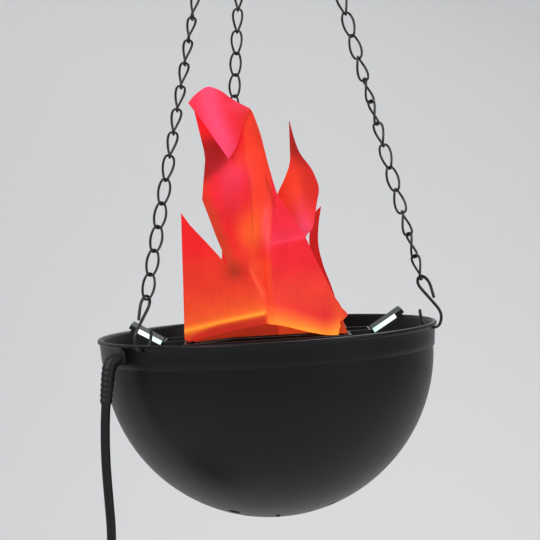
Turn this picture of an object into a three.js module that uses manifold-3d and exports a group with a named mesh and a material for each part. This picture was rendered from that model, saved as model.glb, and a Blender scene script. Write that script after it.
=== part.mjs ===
// A hanging LED flame light: a black bowl on three chains, with silk tongues blown by a fan and lit from below.
// Millimetres, Z up. The viewer stands on the side of minus Y. The lamp hangs from the origin.
import * as THREE from 'three';
import { mergeVertices } from 'three/addons/utils/BufferGeometryUtils.js';
import Module from 'manifold-3d';

const wasm = await Module();
wasm.setup();

// Clearance of pieces that touch, clearance of round holes, and the overrun of every cut
const FIT = 0.3;
const HOLE_FIT = 0.5;
const OVERRUN = 1;

// Hanging hook and ring
const S_WIRE = 3.5;
const S_UPPER_RADIUS = 10;
const S_LOWER_RADIUS = 7;
const S_BEND_SPACING = 26.8;
const RING_RADIUS = 12.5;
const RING_WIRE = 2.6;
const RING_SPREAD = 34;

// Chains and their hooks in the rim
const CHAIN_HEIGHT = 412;
const CHAIN_SHIFT = 13.3;
const LINK_COUNT = 26;
const LINK_WIRE = 1.6;
const LINK_WIDTH = 8.7;
const LINK_SWING_GAP = 0.8;
const LINK_BITE_SHARE = 0.55;
const HOOK_AZIMUTHS = { right: -16, back: 105, left: 226 };
const HOOK_WIRE = 2;
const HOOK_HEIGHT = 34.2;
const HOOK_DEPTH = 3;
const HOOK_CREST_SHARES = [-0.2, 1];

// Bowl
const BOWL_RADIUS = 112;
const RIM_OVERHANG = 3;
const RIM_RADIUS = BOWL_RADIUS + RIM_OVERHANG;
const LIP_HEIGHT = 2.2;
const LIP_STEP = 0.8;
const BAND_HEIGHT = 16;
const BAND_DRAFT = 0.9;
const BOWL_WALL = 2.2;
const BASE_FLAT_RADIUS = 12;
const BOWL_SIDES = 40;
const VENT_COUNT = 10;
const VENT_WIDTH = 2.6;
const VENT_INNER = 25;
const VENT_OUTER = 38;
const BASE_SCREW_CIRCLE = 46;
const BASE_SCREW_AZIMUTH = 52;
const BASE_BOSS_WALL = 1.7;
const RIB_AZIMUTH = 43;
const RIB_WIDTH = 9;
const RIB_REACH = 14;
const RIB_INNER = BOWL_RADIUS - RIB_REACH;
const RIB_HEIGHT = 22;

// Deck and what stands on it
const DECK_DEPTH = 17;
const DECK_THICK = 2;
const DECK_EDGE_GAP = 0.6;
const DECK_SCREW_INSET = 9;
const DECK_SCREW_CIRCLE = BOWL_RADIUS - DECK_SCREW_INSET;
const LEAD_HOLE_RADIUS = 3.8;
const MAINS_HOLE_RADIUS = 4.8;
const COLLAR_LENGTH = 140;
const COLLAR_WIDTH = 100;
const COLLAR_MIDDLE_LENGTH = 110;
const COLLAR_END_WIDTH = 32;
const COLLAR_WALL = 1.6;
const COLLAR_TOP_DEPTH = 3.5;
const COLLAR_TAB_WIDTH = 10;
const COLLAR_TAB_DROP = 2;
const FRAME_CORNER_Y = 5;
const FRAME_FRONT_Y = -30;
const FRAME_REAR_Y = 33;
const FRAME_REAR_HALF = 24;
const FRAME_BAR = 3;
const FRAME_HEIGHT = 8.4;

// Slanted glass plates, their brackets and the lights under them
const GLASS_LENGTH = 23.8;
const GLASS_WIDTH = 30;
const GLASS_THICK = 3;
const GLASS_LUG = 6;
const GLASS_FOOT_X = 72.2;
const GLASS_FOOT_DEPTH = 5.6;
const GLASS_TILT = 31;
const CHEEK = 1.6;
const LEDGE = 2;

// Light boards
const BOARD_THICK = 1.6;
const FLAME_BOARD_LENGTH = 62;
const FLAME_BOARD_WIDTH = 8;
const FLAME_BOARD_Y = 43.4;
const LENS_WIDTH = 6;
const LENS_BASE = 1.5;
const LENS_DOME_RADIUS = 2.6;
const LENS_DOME_HEIGHT = 2.4;
const LENS_COUNT = 5;
const WALL_BOARD_LENGTH = 28;
const WALL_BOARD_WIDTH = 12;
const WALL_BOARD_X = 82;
const WALL_LED_COUNT = 3;
const WALL_LED_RADIUS = 3;
const WALL_LED_HEIGHT = 2.2;

// Fan
const FAN_SIZE = 80;
const FAN_DEPTH = 25;
const FAN_BORE_RADIUS = 38;
const FAN_HOLE_SPACING = 71.5;
const FAN_HOLE_RADIUS = 2.2;
const FAN_CORNER = 5;
const STRUT_WIDTH = 4;
const STRUT_THICK = 2;
const MOTOR_PLATE_RADIUS = 15;
const BEARING_RADIUS = 3.8;
const BEARING_HEIGHT = 9;
const SHAFT_RADIUS = 1.5;
const STATOR_RADIUS = 12.5;
const STATOR_HEIGHT = 8;
const HUB_RADIUS = 16;
const HUB_WALL = 1.5;
const HUB_HEIGHT = 17;
const HUB_SINK = 2;
const BLADE_COUNT = 7;
const BLADE_TIP_RADIUS = 36.4;
const BLADE_CHORD = 18;
const BLADE_THICK = 1.5;
const BLADE_PITCH = 38;
const GUARD_THICK = 2;
const GUARD_BAR = 2;
const GUARD_RING_RADII = [14, 30];
const GUARD_EAR_RADIUS = 4;

// Power parts on the base plate
const BASE_PLATE_RISE = 16;
const BASE_PLATE_EDGE_GAP = 6.1;
const BASE_PLATE_THICK = 2;
const BASE_PLATE_HOLE = 22;
const CORE_X = 44;
const CORE_Y = 6;
const CORE_LENGTH = 20;
const CORE_WIDTH = 50;
const CORE_HEADROOM = 9.7;
const CORE_WINDOW = [8, 25];
const COIL_SIDE = 9;
const COIL_GAP = 0.4;
const BOARD_X = -40;
const BOARD_SIZE = [36, 56];
const STANDOFF_HEIGHT = 5;
const STANDOFF_RADIUS = 2.5;
const CAPACITOR_RADIUS = 5;
const CAPACITOR_HEIGHT = 14;
const TERMINAL_SIZE = [24, 12, 12];
const TERMINAL_Y = -50;

// Screws
const SCREW = { deck: [1.5, 3, 1.8, 10], fan: [1.9, 3.6, 2.2, 32], base: [1.8, 3.6, 2.4, 16.5] };

// Silk flame, measured in shares of its width and height
const SILK_WIDTH = 112;
const HEM_REST = 1;
const FRAME_HALF_LENGTH = SILK_WIDTH / 2 + HEM_REST;
const SILK_HEIGHT = 172;
const SILK_THICK = 1;
const SILK_COLUMNS = 6;
const SILK_TIP_WIDTH = 1.6;
const SILK_HEM_GAP = 0.4;

// Mains lead
const CORD_DIAMETER = 6;
const CORD_AZIMUTH = -145;
const CORD_HOLE_DEPTH = 8;
const RELIEF_NECK_RADIUS = 4.2;
const RELIEF_FLANGE_RADIUS = 5.5;
const RELIEF_FLANGE_THICK = 2;
const RELIEF_START_RADIUS = 5;
const RELIEF_END_RADIUS = 3.7;
const COIL_CENTRE = [-92, -74.5, -184];
const COIL_TURNS = 6;
const COIL_LAYERS = 4;
const COIL_CLEARANCE = 0.6;
const COIL_MIDDLE_RADIUS = 33;
const COIL_START = 135;
const COIL_STEPS = 24;
const TIE_WIDTH = 9;
const TIE_THICK = 1.6;
const PLUG_LENGTH = 36;
const PLUG_WIDTH = 25;
const PLUG_DEPTH = 14;
const PIN_SPACING = 19;
const PIN_RADIUS = 2;
const PIN_LENGTH = 19;

const rad = THREE.MathUtils.degToRad;
const V = (x, y, z) => new THREE.Vector3(x, y, z);

// Heights that follow from the sizes above
const S_UPPER_Z = S_WIRE / 2 - S_UPPER_RADIUS;
const S_LOWER_Z = S_UPPER_Z - S_BEND_SPACING;
const RING_TOP_Z = S_LOWER_Z - S_LOWER_RADIUS + S_WIRE / 2 + FIT + RING_WIRE / 2;
const RING_Z = RING_TOP_Z - RING_RADIUS;
const RIM_Z = RING_Z - RING_RADIUS - CHAIN_HEIGHT;
const SPHERE_Z = -BAND_HEIGHT + LIP_STEP;
const DECK_Z = -DECK_DEPTH;
const FAN_TOP = DECK_Z - DECK_THICK - FIT;
const FAN_BOTTOM = FAN_TOP - FAN_DEPTH;
const PLATE_TOP = BASE_PLATE_RISE - BOWL_RADIUS;
const PLATE_BOTTOM = PLATE_TOP - BASE_PLATE_THICK;
const HEM_Z = DECK_Z + FIT + FRAME_HEIGHT + SILK_HEM_GAP;
const COIL_PITCH = CORD_DIAMETER + COIL_CLEARANCE;

const MATERIALS = {
  blackPlastic: { color: 0x0b0b0c, roughness: 0.45, metalness: 0 },
  greyPlastic: { color: 0x2a2b2d, roughness: 0.6, metalness: 0 },
  blackSteel: { color: 0x0d0d0e, roughness: 0.4, metalness: 0.8 },
  steel: { color: 0x9a9c9f, roughness: 0.35, metalness: 1 },
  silk: { color: 0xff3a22, roughness: 0.8, metalness: 0 },
  silkDeep: { color: 0xd81c1c, roughness: 0.8, metalness: 0 },
  glass: { color: 0xe8fff0, roughness: 0.1, metalness: 0 },
  lens: { color: 0xffd9a0, roughness: 0.2, metalness: 0 },
  board: { color: 0x1d5a34, roughness: 0.5, metalness: 0 },
  copper: { color: 0xb06a34, roughness: 0.4, metalness: 0.9 },
  brass: { color: 0xc9a24a, roughness: 0.3, metalness: 1 },
  cord: { color: 0x0a0a0b, roughness: 0.6, metalness: 0 },
};

// A closed mesh as a manifold solid, and back
function toSolid(geometry) {
  const bare = geometry.clone();
  bare.deleteAttribute('normal');
  bare.deleteAttribute('uv');
  const merged = mergeVertices(bare, 1e-4);
  const vertProperties = new Float32Array(merged.attributes.position.array);
  const triVerts = new Uint32Array(merged.index.array);
  return new wasm.Manifold(new wasm.Mesh({ numProp: 3, vertProperties, triVerts }));
}

function toGeometry(solid) {
  const mesh = solid.getMesh();
  const geometry = new THREE.BufferGeometry();
  geometry.setAttribute('position', new THREE.BufferAttribute(new Float32Array(mesh.vertProperties), 3));
  geometry.setIndex(new THREE.BufferAttribute(new Uint32Array(mesh.triVerts), 1));
  return geometry;
}

const join = (first, ...others) => toGeometry(others.reduce((sum, g) => sum.add(toSolid(g)), toSolid(first)));
const cut = (first, ...others) => toGeometry(others.reduce((sum, g) => sum.subtract(toSolid(g)), toSolid(first)));

// A box from its lowest to its highest corner
function box(low, high) {
  const size = high.map((h, i) => h - low[i]);
  const middle = high.map((h, i) => (h + low[i]) / 2);
  return new THREE.BoxGeometry(...size).translate(...middle);
}

// An upright cylinder, and one laid along a direction
function post(radius, low, high, sides = 16, x = 0, y = 0) {
  const shape = new THREE.CylinderGeometry(radius, radius, high - low, sides);
  return shape.rotateX(Math.PI / 2).translate(x, y, (low + high) / 2);
}

function rod(radius, from, to, sides = 16) {
  const shape = new THREE.CylinderGeometry(radius, radius, from.distanceTo(to), sides);
  const turn = new THREE.Quaternion().setFromUnitVectors(V(0, 1, 0), to.clone().sub(from).normalize());
  const middle = from.clone().add(to).multiplyScalar(0.5);
  return shape.applyQuaternion(turn).translate(middle.x, middle.y, middle.z);
}

// A profile of radius and height turned round the Z axis
function turned(profile, sides = 24) {
  const points = profile.map(([r, z]) => new THREE.Vector2(r, z));
  return new THREE.LatheGeometry(points, sides).rotateX(Math.PI / 2);
}

// A flat outline with holes, raised from one height to another
function plate(outline, holes, low, high) {
  const shape = new THREE.Shape(outline);
  shape.holes = holes.map((hole) => new THREE.Path(hole));
  const raised = new THREE.ExtrudeGeometry(shape, { depth: high - low, bevelEnabled: false });
  return raised.translate(0, 0, low);
}

const circle = (radius, sides, x = 0, y = 0) => Array.from({ length: sides }, (_, i) => {
  const turn = (2 * Math.PI * i) / sides;
  return new THREE.Vector2(x + radius * Math.cos(turn), y + radius * Math.sin(turn));
});
const rectangle = (halfX, halfY, x = 0, y = 0) => [[-1, -1], [1, -1], [1, 1], [-1, 1]]
  .map(([a, b]) => new THREE.Vector2(x + a * halfX, y + b * halfY));

// A round wire along a smooth curve through points
function wire(points, diameter, steps, sides) {
  const section = new THREE.Shape(circle(diameter / 2, sides));
  const path = new THREE.CatmullRomCurve3(points, false, 'centripetal');
  return new THREE.ExtrudeGeometry(section, { steps, bevelEnabled: false, extrudePath: path });
}

// A tube with its own radius at each point, with a section carried along without twist
function taperedTube(points, radii, sides) {
  const places = [];
  const faces = [];
  let across = null;
  points.forEach((point, i) => {
    const ahead = points[Math.min(i + 1, points.length - 1)].clone();
    const along = ahead.sub(points[Math.max(i - 1, 0)]).normalize();
    const start = across ?? (Math.abs(along.y) < 0.9 ? V(0, 1, 0) : V(1, 0, 0));
    across = start.clone().addScaledVector(along, -start.dot(along)).normalize();
    const side = along.clone().cross(across);
    for (let k = 0; k < sides; k += 1) {
      const turn = (2 * Math.PI * k) / sides;
      const place = point.clone().addScaledVector(across, radii[i] * Math.cos(turn));
      places.push(...place.addScaledVector(side, radii[i] * Math.sin(turn)).toArray());
    }
  });
  const last = (points.length - 1) * sides;
  for (let i = 0; i + 1 < points.length; i += 1) {
    for (let k = 0; k < sides; k += 1) {
      const [a, b] = [i * sides + k, i * sides + ((k + 1) % sides)];
      faces.push(a, b, b + sides, a, b + sides, a + sides);
    }
  }
  for (let k = 1; k + 1 < sides; k += 1) faces.push(0, k + 1, k, last, last + k, last + k + 1);
  const tube = new THREE.BufferGeometry();
  tube.setAttribute('position', new THREE.Float32BufferAttribute(places, 3));
  return tube.setIndex(faces);
}

// Share of a screw head's height where its rim ends, and of its radius where its crown starts
const HEAD_RIM_SHARE = 0.6;
const HEAD_CROWN_SHARE = 0.7;

// A pan head screw pointing down from its seat at the origin, or up with flip
function screw([shank, head, rise, length], flip = false) {
  const profile = [[0, -length], [shank, -length], [shank, FIT], [head, FIT],
    [head, FIT + rise * HEAD_RIM_SHARE], [head * HEAD_CROWN_SHARE, FIT + rise], [0, FIT + rise]];
  const shape = turned(profile, 8);
  return flip ? shape.rotateX(Math.PI) : shape;
}

const lamp = new THREE.Group();
lamp.position.set(-CHAIN_SHIFT, 0, RIM_Z);
const light = new THREE.Group();
light.add(lamp);

function add(parent, name, geometry, finish, place = null) {
  const mesh = new THREE.Mesh(geometry, new THREE.MeshStandardMaterial(MATERIALS[finish]));
  mesh.name = name;
  if (place) mesh.position.copy(place);
  parent.add(mesh);
  return mesh;
}

const polar = (radius, degrees, z = 0) => V(radius * Math.cos(rad(degrees)), radius * Math.sin(rad(degrees)), z);

// Degrees that each bend of the hanging hook runs through
const S_UPPER_SWEEP = [-30, 180];
const S_LOWER_SWEEP = [0, -215];

// Hanging hook: an upper bend, a slanting middle and a lower bend that opens the other way
function sHook() {
  const arc = (radius, z, [from, to], count = 7) => Array.from({ length: count + 1 }, (_, i) => {
    const turn = rad(from + ((to - from) * i) / count);
    return V(0, radius * Math.cos(turn), z + radius * Math.sin(turn));
  });
  const upper = arc(S_UPPER_RADIUS, S_UPPER_Z, S_UPPER_SWEEP);
  const lower = arc(S_LOWER_RADIUS, S_LOWER_Z, S_LOWER_SWEEP);
  return wire([...upper, ...lower], S_WIRE, 28, 6);
}

function ring() {
  return new THREE.TorusGeometry(RING_RADIUS, RING_WIRE / 2, 6, 20).rotateX(Math.PI / 2);
}

// How square a link's oval is, and the radius of its three-sided wire in wire widths
const LINK_SQUARENESS = 0.3;
const LINK_WIRE_SHARE = 0.6;

// One link: an oval of wire whose two ends are turned a quarter turn against each other
function linkGeometry(halfLength, stations = 8, sides = 3) {
  const halfWidth = (LINK_WIDTH - LINK_WIRE) / 2;
  const half = Math.PI / stations;
  const at = (t) => {
    const up = (Math.sin(t) * halfLength) / Math.cos(half);
    const out = Math.sign(Math.cos(t)) * Math.abs(Math.cos(t)) ** LINK_SQUARENESS * halfWidth;
    const twist = (Math.PI / 4) * (up / halfLength - 1);
    return V(out * Math.cos(twist), out * Math.sin(twist), up);
  };
  const places = [];
  const faces = [];
  for (let i = 0; i < stations; i += 1) {
    const t = (2 * Math.PI * i) / stations + half;
    const centre = at(t);
    const along = at(t + 0.01).sub(at(t - 0.01)).normalize();
    const out = centre.clone().addScaledVector(along, -centre.dot(along)).normalize();
    const side = along.clone().cross(out);
    for (let k = 0; k < sides; k += 1) {
      const turn = (2 * Math.PI * (k + 0.5)) / sides;
      const reach = LINK_WIRE * LINK_WIRE_SHARE;
      const place = centre.clone().addScaledVector(out, reach * Math.cos(turn));
      places.push(...place.addScaledVector(side, reach * Math.sin(turn)).toArray());
      const [a, b] = [i * sides + k, i * sides + ((k + 1) % sides)];
      const next = (v) => (v + sides) % (stations * sides);
      faces.push(a, b, next(b), a, next(b), next(a));
    }
  }
  const link = new THREE.BufferGeometry();
  link.setAttribute('position', new THREE.Float32BufferAttribute(places, 3));
  return link.setIndex(faces);
}

// How far the links have turned about the chain, in degrees, at shares of the way from its foot to its top
const ROLLS_AT_SHARE = {
  right: [[0, -25], [0.48, -360], [1, -630]],
  back: [[0, 105], [0.36, 50], [0.4, 42], [0.48, 5], [1, -90]],
  left: [[0, 46], [0.12, 50], [0.16, 40], [0.24, 0], [0.48, -20], [1, -90]],
};

function rollAt(rolls, share) {
  const next = Math.max(1, rolls.findIndex(([at]) => at >= share));
  const [[from, start], [to, end]] = [rolls[next - 1], rolls[next]];
  return THREE.MathUtils.mapLinear(share, from, to, start, end);
}

// A chain from its top end to its foot
function chain(name, top, foot, rolls) {
  const bite = LINK_WIRE * LINK_BITE_SHARE;
  const span = top.distanceTo(foot);
  const halfLength = (span + (LINK_COUNT - 1) * bite) / LINK_COUNT / 2;
  const pitch = 2 * halfLength - bite;
  const link = linkGeometry(halfLength);
  const links = Array.from({ length: LINK_COUNT }, (_, i) => {
    const roll = rollAt(rolls, i / (LINK_COUNT - 1));
    return link.clone().rotateZ(rad(roll)).translate(0, 0, halfLength + i * pitch);
  });
  const mesh = add(lamp, name, join(...links), 'blackSteel', foot);
  mesh.quaternion.setFromUnitVectors(V(0, 0, 1), top.clone().sub(foot).normalize());
}

// Hook through the rim: a short free leg, a loop, a long leg outside the rim and a tip turned up inside
const HOOK_SHARES = [[0.03, 0.56], [-0.04, 0.84], [-0.12, 0.96], HOOK_CREST_SHARES, [-0.27, 0.94], [-0.25, 0.81],
  [-0.08, 0.59], [0.1, 0.36], [0.15, 0.22], [0.12, 0.07], [0.04, 0], [-0.1, 0], [-0.2, 0.08], [-0.25, 0.23],
  [-0.265, 0.36]];

function chainHook(name, azimuth) {
  const points = HOOK_SHARES.map(([out, up]) => polar(RIM_RADIUS + out * HOOK_HEIGHT, azimuth,
    up * HOOK_HEIGHT - HOOK_DEPTH));
  add(lamp, name, wire(points, HOOK_WIRE, 30, 5), 'blackSteel');
}

function suspension() {
  add(light, 's_hook', sHook(), 'steel');
  add(light, 'top_ring', ring(), 'steel', V(0, 0, RING_Z));
  const spreads = { right: RING_SPREAD, back: 0, left: -RING_SPREAD };
  const seat = RING_RADIUS - RING_WIRE / 2 - LINK_WIRE / 2 - LINK_SWING_GAP;
  const drop = HOOK_WIRE / 2 + LINK_WIRE / 2 + FIT;
  for (const [side, azimuth] of Object.entries(HOOK_AZIMUTHS)) {
    const turn = rad(spreads[side]);
    const top = V(CHAIN_SHIFT + seat * Math.sin(turn), 0, CHAIN_HEIGHT + RING_RADIUS - seat * Math.cos(turn));
    const crest = HOOK_CREST_SHARES.map((share) => share * HOOK_HEIGHT);
    const foot = polar(RIM_RADIUS + crest[0], azimuth, crest[1] - HOOK_DEPTH - drop);
    chain(`chain_${side}`, top, foot, ROLLS_AT_SHARE[side]);
    chainHook(`chain_hook_${side}`, azimuth);
  }
}

const sphereDepth = (radius, r) => SPHERE_Z - Math.sqrt(radius ** 2 - r ** 2);
const BOWL_INNER = BOWL_RADIUS - BOWL_WALL;
const BAND_FOOT = BOWL_RADIUS + LIP_STEP;
const WELL_RADIUS = SCREW.base[1] + FIT;
const WELL_TOP = sphereDepth(BOWL_RADIUS, BASE_SCREW_CIRCLE + WELL_RADIUS) + SCREW.base[2] + FIT;

// Bowl: the outer body, a sphere with a flat pole, a drafted band over a small step and a lip; and its hollow
function bowlProfiles() {
  const arc = (radius, to, count) => Array.from({ length: count + 1 }, (_, i) => {
    const from = -Math.acos(BASE_FLAT_RADIUS / radius);
    const turn = from + ((to - from) * i) / count;
    return [radius * Math.cos(turn), SPHERE_Z + radius * Math.sin(turn)];
  });
  const outer = arc(BOWL_RADIUS, -Math.asin(LIP_STEP / BOWL_RADIUS), 7);
  const inner = arc(BOWL_INNER, 0, 6);
  const lipFoot = BAND_FOOT + BAND_DRAFT;
  const body = [[0, outer[0][1]], ...outer, [BAND_FOOT, -BAND_HEIGHT], [lipFoot, -LIP_HEIGHT - LIP_STEP],
    [RIM_RADIUS, -LIP_HEIGHT], [RIM_RADIUS, -LIP_STEP], [RIM_RADIUS - LIP_STEP, 0], [0, 0]];
  const hollow = [[0, inner[0][1]], ...inner, [lipFoot - BOWL_WALL, -LIP_HEIGHT], [RIM_RADIUS - BOWL_WALL, 0],
    [RIM_RADIUS - BOWL_WALL, OVERRUN], [0, OVERRUN]];
  return { body, hollow };
}

function bowl() {
  const low = -BOWL_RADIUS - BAND_HEIGHT - OVERRUN;
  const bosses = [];
  const tools = [];
  for (let k = 0; k < 4; k += 1) {
    const at = polar(BASE_SCREW_CIRCLE, BASE_SCREW_AZIMUTH + 90 * k);
    bosses.push(post(WELL_RADIUS + BASE_BOSS_WALL, low, PLATE_BOTTOM - FIT, 12, at.x, at.y));
    tools.push(post(WELL_RADIUS, low, WELL_TOP, 12, at.x, at.y));
    tools.push(post(SCREW.base[0] + FIT, low, PLATE_BOTTOM + OVERRUN, 12, at.x, at.y));
  }
  for (let k = 0; k < 3; k += 1) {
    const rib = box([RIB_INNER, -RIB_WIDTH / 2, FAN_TOP - RIB_HEIGHT], [RIM_RADIUS, RIB_WIDTH / 2, FAN_TOP]);
    bosses.push(rib.rotateZ(rad(RIB_AZIMUTH + 120 * k)));
    const at = polar(DECK_SCREW_CIRCLE, RIB_AZIMUTH + 120 * k);
    tools.push(post(SCREW.deck[0] + FIT, FAN_TOP - SCREW.deck[3], FAN_TOP + OVERRUN, 8, at.x, at.y));
  }
  for (let k = 0; k < VENT_COUNT; k += 1) {
    const slot = box([VENT_INNER, -VENT_WIDTH / 2, low], [VENT_OUTER, VENT_WIDTH / 2, PLATE_BOTTOM]);
    tools.push(slot.rotateZ((2 * Math.PI * k) / VENT_COUNT - Math.PI / 2));
  }
  const drill = (radius, azimuth, depth, sides) => rod(radius + HOLE_FIT,
    polar(RIM_RADIUS - RIM_RADIUS / 10, azimuth, -depth), polar(RIM_RADIUS + OVERRUN, azimuth, -depth), sides);
  for (const azimuth of Object.values(HOOK_AZIMUTHS)) tools.push(drill(HOOK_WIRE / 2, azimuth, HOOK_DEPTH, 10));
  tools.push(drill(RELIEF_NECK_RADIUS, CORD_AZIMUTH, CORD_HOLE_DEPTH, 14));
  const { body, hollow } = bowlProfiles();
  const room = cut(turned(hollow, BOWL_SIDES), ...bosses);
  add(lamp, 'bowl', cut(turned(body, BOWL_SIDES), room, ...tools), 'blackPlastic');
  for (let k = 0; k < 4; k += 1) {
    const at = polar(BASE_SCREW_CIRCLE, BASE_SCREW_AZIMUTH + 90 * k, WELL_TOP);
    add(lamp, `base_screw_${k + 1}`, screw(SCREW.base, true), 'blackSteel', at);
  }
}

const DECK_RADIUS = BOWL_INNER * Math.cos(Math.PI / BOWL_SIDES) - DECK_EDGE_GAP;
const TAB_PLACES = [[0, -1], [0, 1], [-1, 0], [1, 0]];
const LEAD_ENTRY = { front: [-38, -46], rear: [-38, 46], mains: [-75, -58] };
const halfHoles = FAN_HOLE_SPACING / 2;
const FAN_CORNERS = [[-1, -1], [1, -1], [1, 1], [-1, 1]].map(([a, b]) => [a * halfHoles, b * halfHoles]);

// Where a collar tab stands, at the middle of each wall
function tabBox([alongX, alongY], low, high, spare) {
  const x = alongX * (COLLAR_LENGTH - COLLAR_WALL) / 2;
  const y = alongY * (COLLAR_WIDTH - COLLAR_WALL) / 2;
  const halfX = (alongX ? COLLAR_WALL : COLLAR_TAB_WIDTH) / 2 + spare;
  const halfY = (alongX ? COLLAR_TAB_WIDTH : COLLAR_WALL) / 2 + spare;
  return { halfX, halfY, x, y, low, high };
}

function deck() {
  const holes = [circle(FAN_BORE_RADIUS, 28)];
  for (const [x, y] of FAN_CORNERS) holes.push(circle(SCREW.fan[0] + FIT, 10, x, y));
  for (let k = 0; k < 3; k += 1) {
    const at = polar(DECK_SCREW_CIRCLE, RIB_AZIMUTH + 120 * k);
    holes.push(circle(SCREW.deck[0] + FIT, 8, at.x, at.y));
  }
  for (const side of TAB_PLACES) {
    const tab = tabBox(side, 0, 0, FIT);
    holes.push(rectangle(tab.halfX, tab.halfY, tab.x, tab.y));
  }
  holes.push(circle(LEAD_HOLE_RADIUS, 8, ...LEAD_ENTRY.front), circle(LEAD_HOLE_RADIUS, 8, ...LEAD_ENTRY.rear));
  holes.push(circle(MAINS_HOLE_RADIUS, 12, ...LEAD_ENTRY.mains));
  const sheet = plate(circle(DECK_RADIUS, BOWL_SIDES), holes, DECK_Z - DECK_THICK, DECK_Z);
  add(lamp, 'deck_plate', sheet, 'blackPlastic');
  for (let k = 0; k < 3; k += 1) {
    const at = polar(DECK_SCREW_CIRCLE, RIB_AZIMUTH + 120 * k, DECK_Z);
    add(lamp, `deck_screw_${k + 1}`, screw(SCREW.deck), 'blackSteel', at);
  }
}

// Plan of the collar: a wide middle round the fan, and a narrow end at each glass plate
function collarPlan(inset) {
  const [end, shoulder] = [COLLAR_LENGTH / 2 - inset, COLLAR_MIDDLE_LENGTH / 2 - inset];
  const [narrow, wide] = [COLLAR_END_WIDTH / 2 - inset, COLLAR_WIDTH / 2 - inset];
  const quarter = [[end, narrow], [shoulder, narrow], [shoulder, wide]];
  const mirrored = [...quarter].reverse();
  return [...quarter, ...mirrored.map(([x, y]) => [-x, y]), ...quarter.map(([x, y]) => [-x, -y]),
    ...mirrored.map(([x, y]) => [x, -y])].map(([x, y]) => new THREE.Vector2(x, y));
}

function collar() {
  const foot = DECK_Z + FIT;
  const walls = plate(collarPlan(0), [collarPlan(COLLAR_WALL)], foot, -COLLAR_TOP_DEPTH);
  const tabs = TAB_PLACES.map((side) => {
    const t = tabBox(side, DECK_Z - DECK_THICK - COLLAR_TAB_DROP, foot + OVERRUN, 0);
    return box([t.x - t.halfX, t.y - t.halfY, t.low], [t.x + t.halfX, t.y + t.halfY, t.high]);
  });
  add(lamp, 'collar', join(walls, ...tabs), 'blackPlastic');
}

// Frame that carries the silk hems: five bars that run round the foot of the flame
function silkFrame() {
  const corners = [[FRAME_HALF_LENGTH, FRAME_CORNER_Y], [FRAME_REAR_HALF, FRAME_REAR_Y],
    [-FRAME_REAR_HALF, FRAME_REAR_Y], [-FRAME_HALF_LENGTH, FRAME_CORNER_Y], [0, FRAME_FRONT_Y]];
  const middle = [0, (FRAME_REAR_Y + FRAME_FRONT_Y) / 2];
  const grown = (reach) => corners.map(([x, y]) => {
    const away = new THREE.Vector2(x - middle[0], y - middle[1]);
    return away.setLength(away.length() + reach).add(new THREE.Vector2(...middle));
  });
  const foot = DECK_Z + FIT;
  const bars = plate(grown(FRAME_BAR / 2), [grown(-FRAME_BAR / 2)], foot, foot + FRAME_HEIGHT);
  add(lamp, 'silk_frame', bars, 'blackPlastic');
}

// One slanted glass plate with its bracket and the board under it; side is 1 right or -1 left
function glassSide(name, side) {
  const tilt = rad(GLASS_TILT);
  const along = [Math.cos(tilt), Math.sin(tilt)];
  const up = [-Math.sin(tilt), Math.cos(tilt)];
  const at = (a, n) => new THREE.Vector2(GLASS_FOOT_X + a * along[0] + n * up[0],
    -GLASS_FOOT_DEPTH + a * along[1] + n * up[1]);
  const half = GLASS_WIDTH / 2;
  // An outline in X and Z drawn out along Y, mirrored for the left side
  const slab = (outline, from, to) => {
    const flat = side > 0 ? outline : outline.map((p) => new THREE.Vector2(-p.x, p.y)).reverse();
    const raised = new THREE.ExtrudeGeometry(new THREE.Shape(flat), { depth: to - from, bevelEnabled: false });
    return raised.rotateX(Math.PI / 2).translate(0, to, 0);
  };
  const pane = slab([at(0, 0), at(GLASS_LENGTH, 0), at(GLASS_LENGTH, GLASS_THICK), at(0, GLASS_THICK)], -half, half);
  add(lamp, `filter_glass_${name}`, pane, 'glass');
  const foot = DECK_Z + FIT;
  const tip = at(GLASS_LENGTH, GLASS_THICK);
  const seat = at(0, -FIT);
  const cheekX = GLASS_FOOT_X + CHEEK;
  const lug = GLASS_LENGTH - GLASS_LUG;
  const cheek = [new THREE.Vector2(cheekX, foot), new THREE.Vector2(tip.x, foot), tip, at(lug, GLASS_THICK),
    at(lug, -FIT), new THREE.Vector2(cheekX, seat.y + (cheekX - seat.x) * Math.tan(tilt))];
  const ledge = (a) => slab([at(a, -FIT - LEDGE), at(a + LEDGE, -FIT - LEDGE), at(a + LEDGE, -FIT), at(a, -FIT)],
    -half - FIT - CHEEK / 2, half + FIT + CHEEK / 2);
  const bracket = join(slab(cheek, half + FIT, half + FIT + CHEEK), slab(cheek, -half - FIT - CHEEK, -half - FIT),
    ledge(CHEEK + LEDGE), ledge(GLASS_LENGTH - 2 * LEDGE));
  add(lamp, `glass_bracket_${name}`, bracket, 'blackPlastic');
  const x = side * WALL_BOARD_X;
  const top = foot + BOARD_THICK;
  const board = box([x - WALL_BOARD_WIDTH / 2, -WALL_BOARD_LENGTH / 2, foot],
    [x + WALL_BOARD_WIDTH / 2, WALL_BOARD_LENGTH / 2, top]);
  const lights = Array.from({ length: WALL_LED_COUNT }, (_, i) => {
    const y = ((i + 0.5) / WALL_LED_COUNT - 0.5) * WALL_BOARD_LENGTH;
    return post(WALL_LED_RADIUS, top - BOARD_THICK / 2, top + WALL_LED_HEIGHT, 8, x, y);
  });
  add(lamp, `wall_led_${name}`, join(board, ...lights), 'lens');
}

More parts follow.
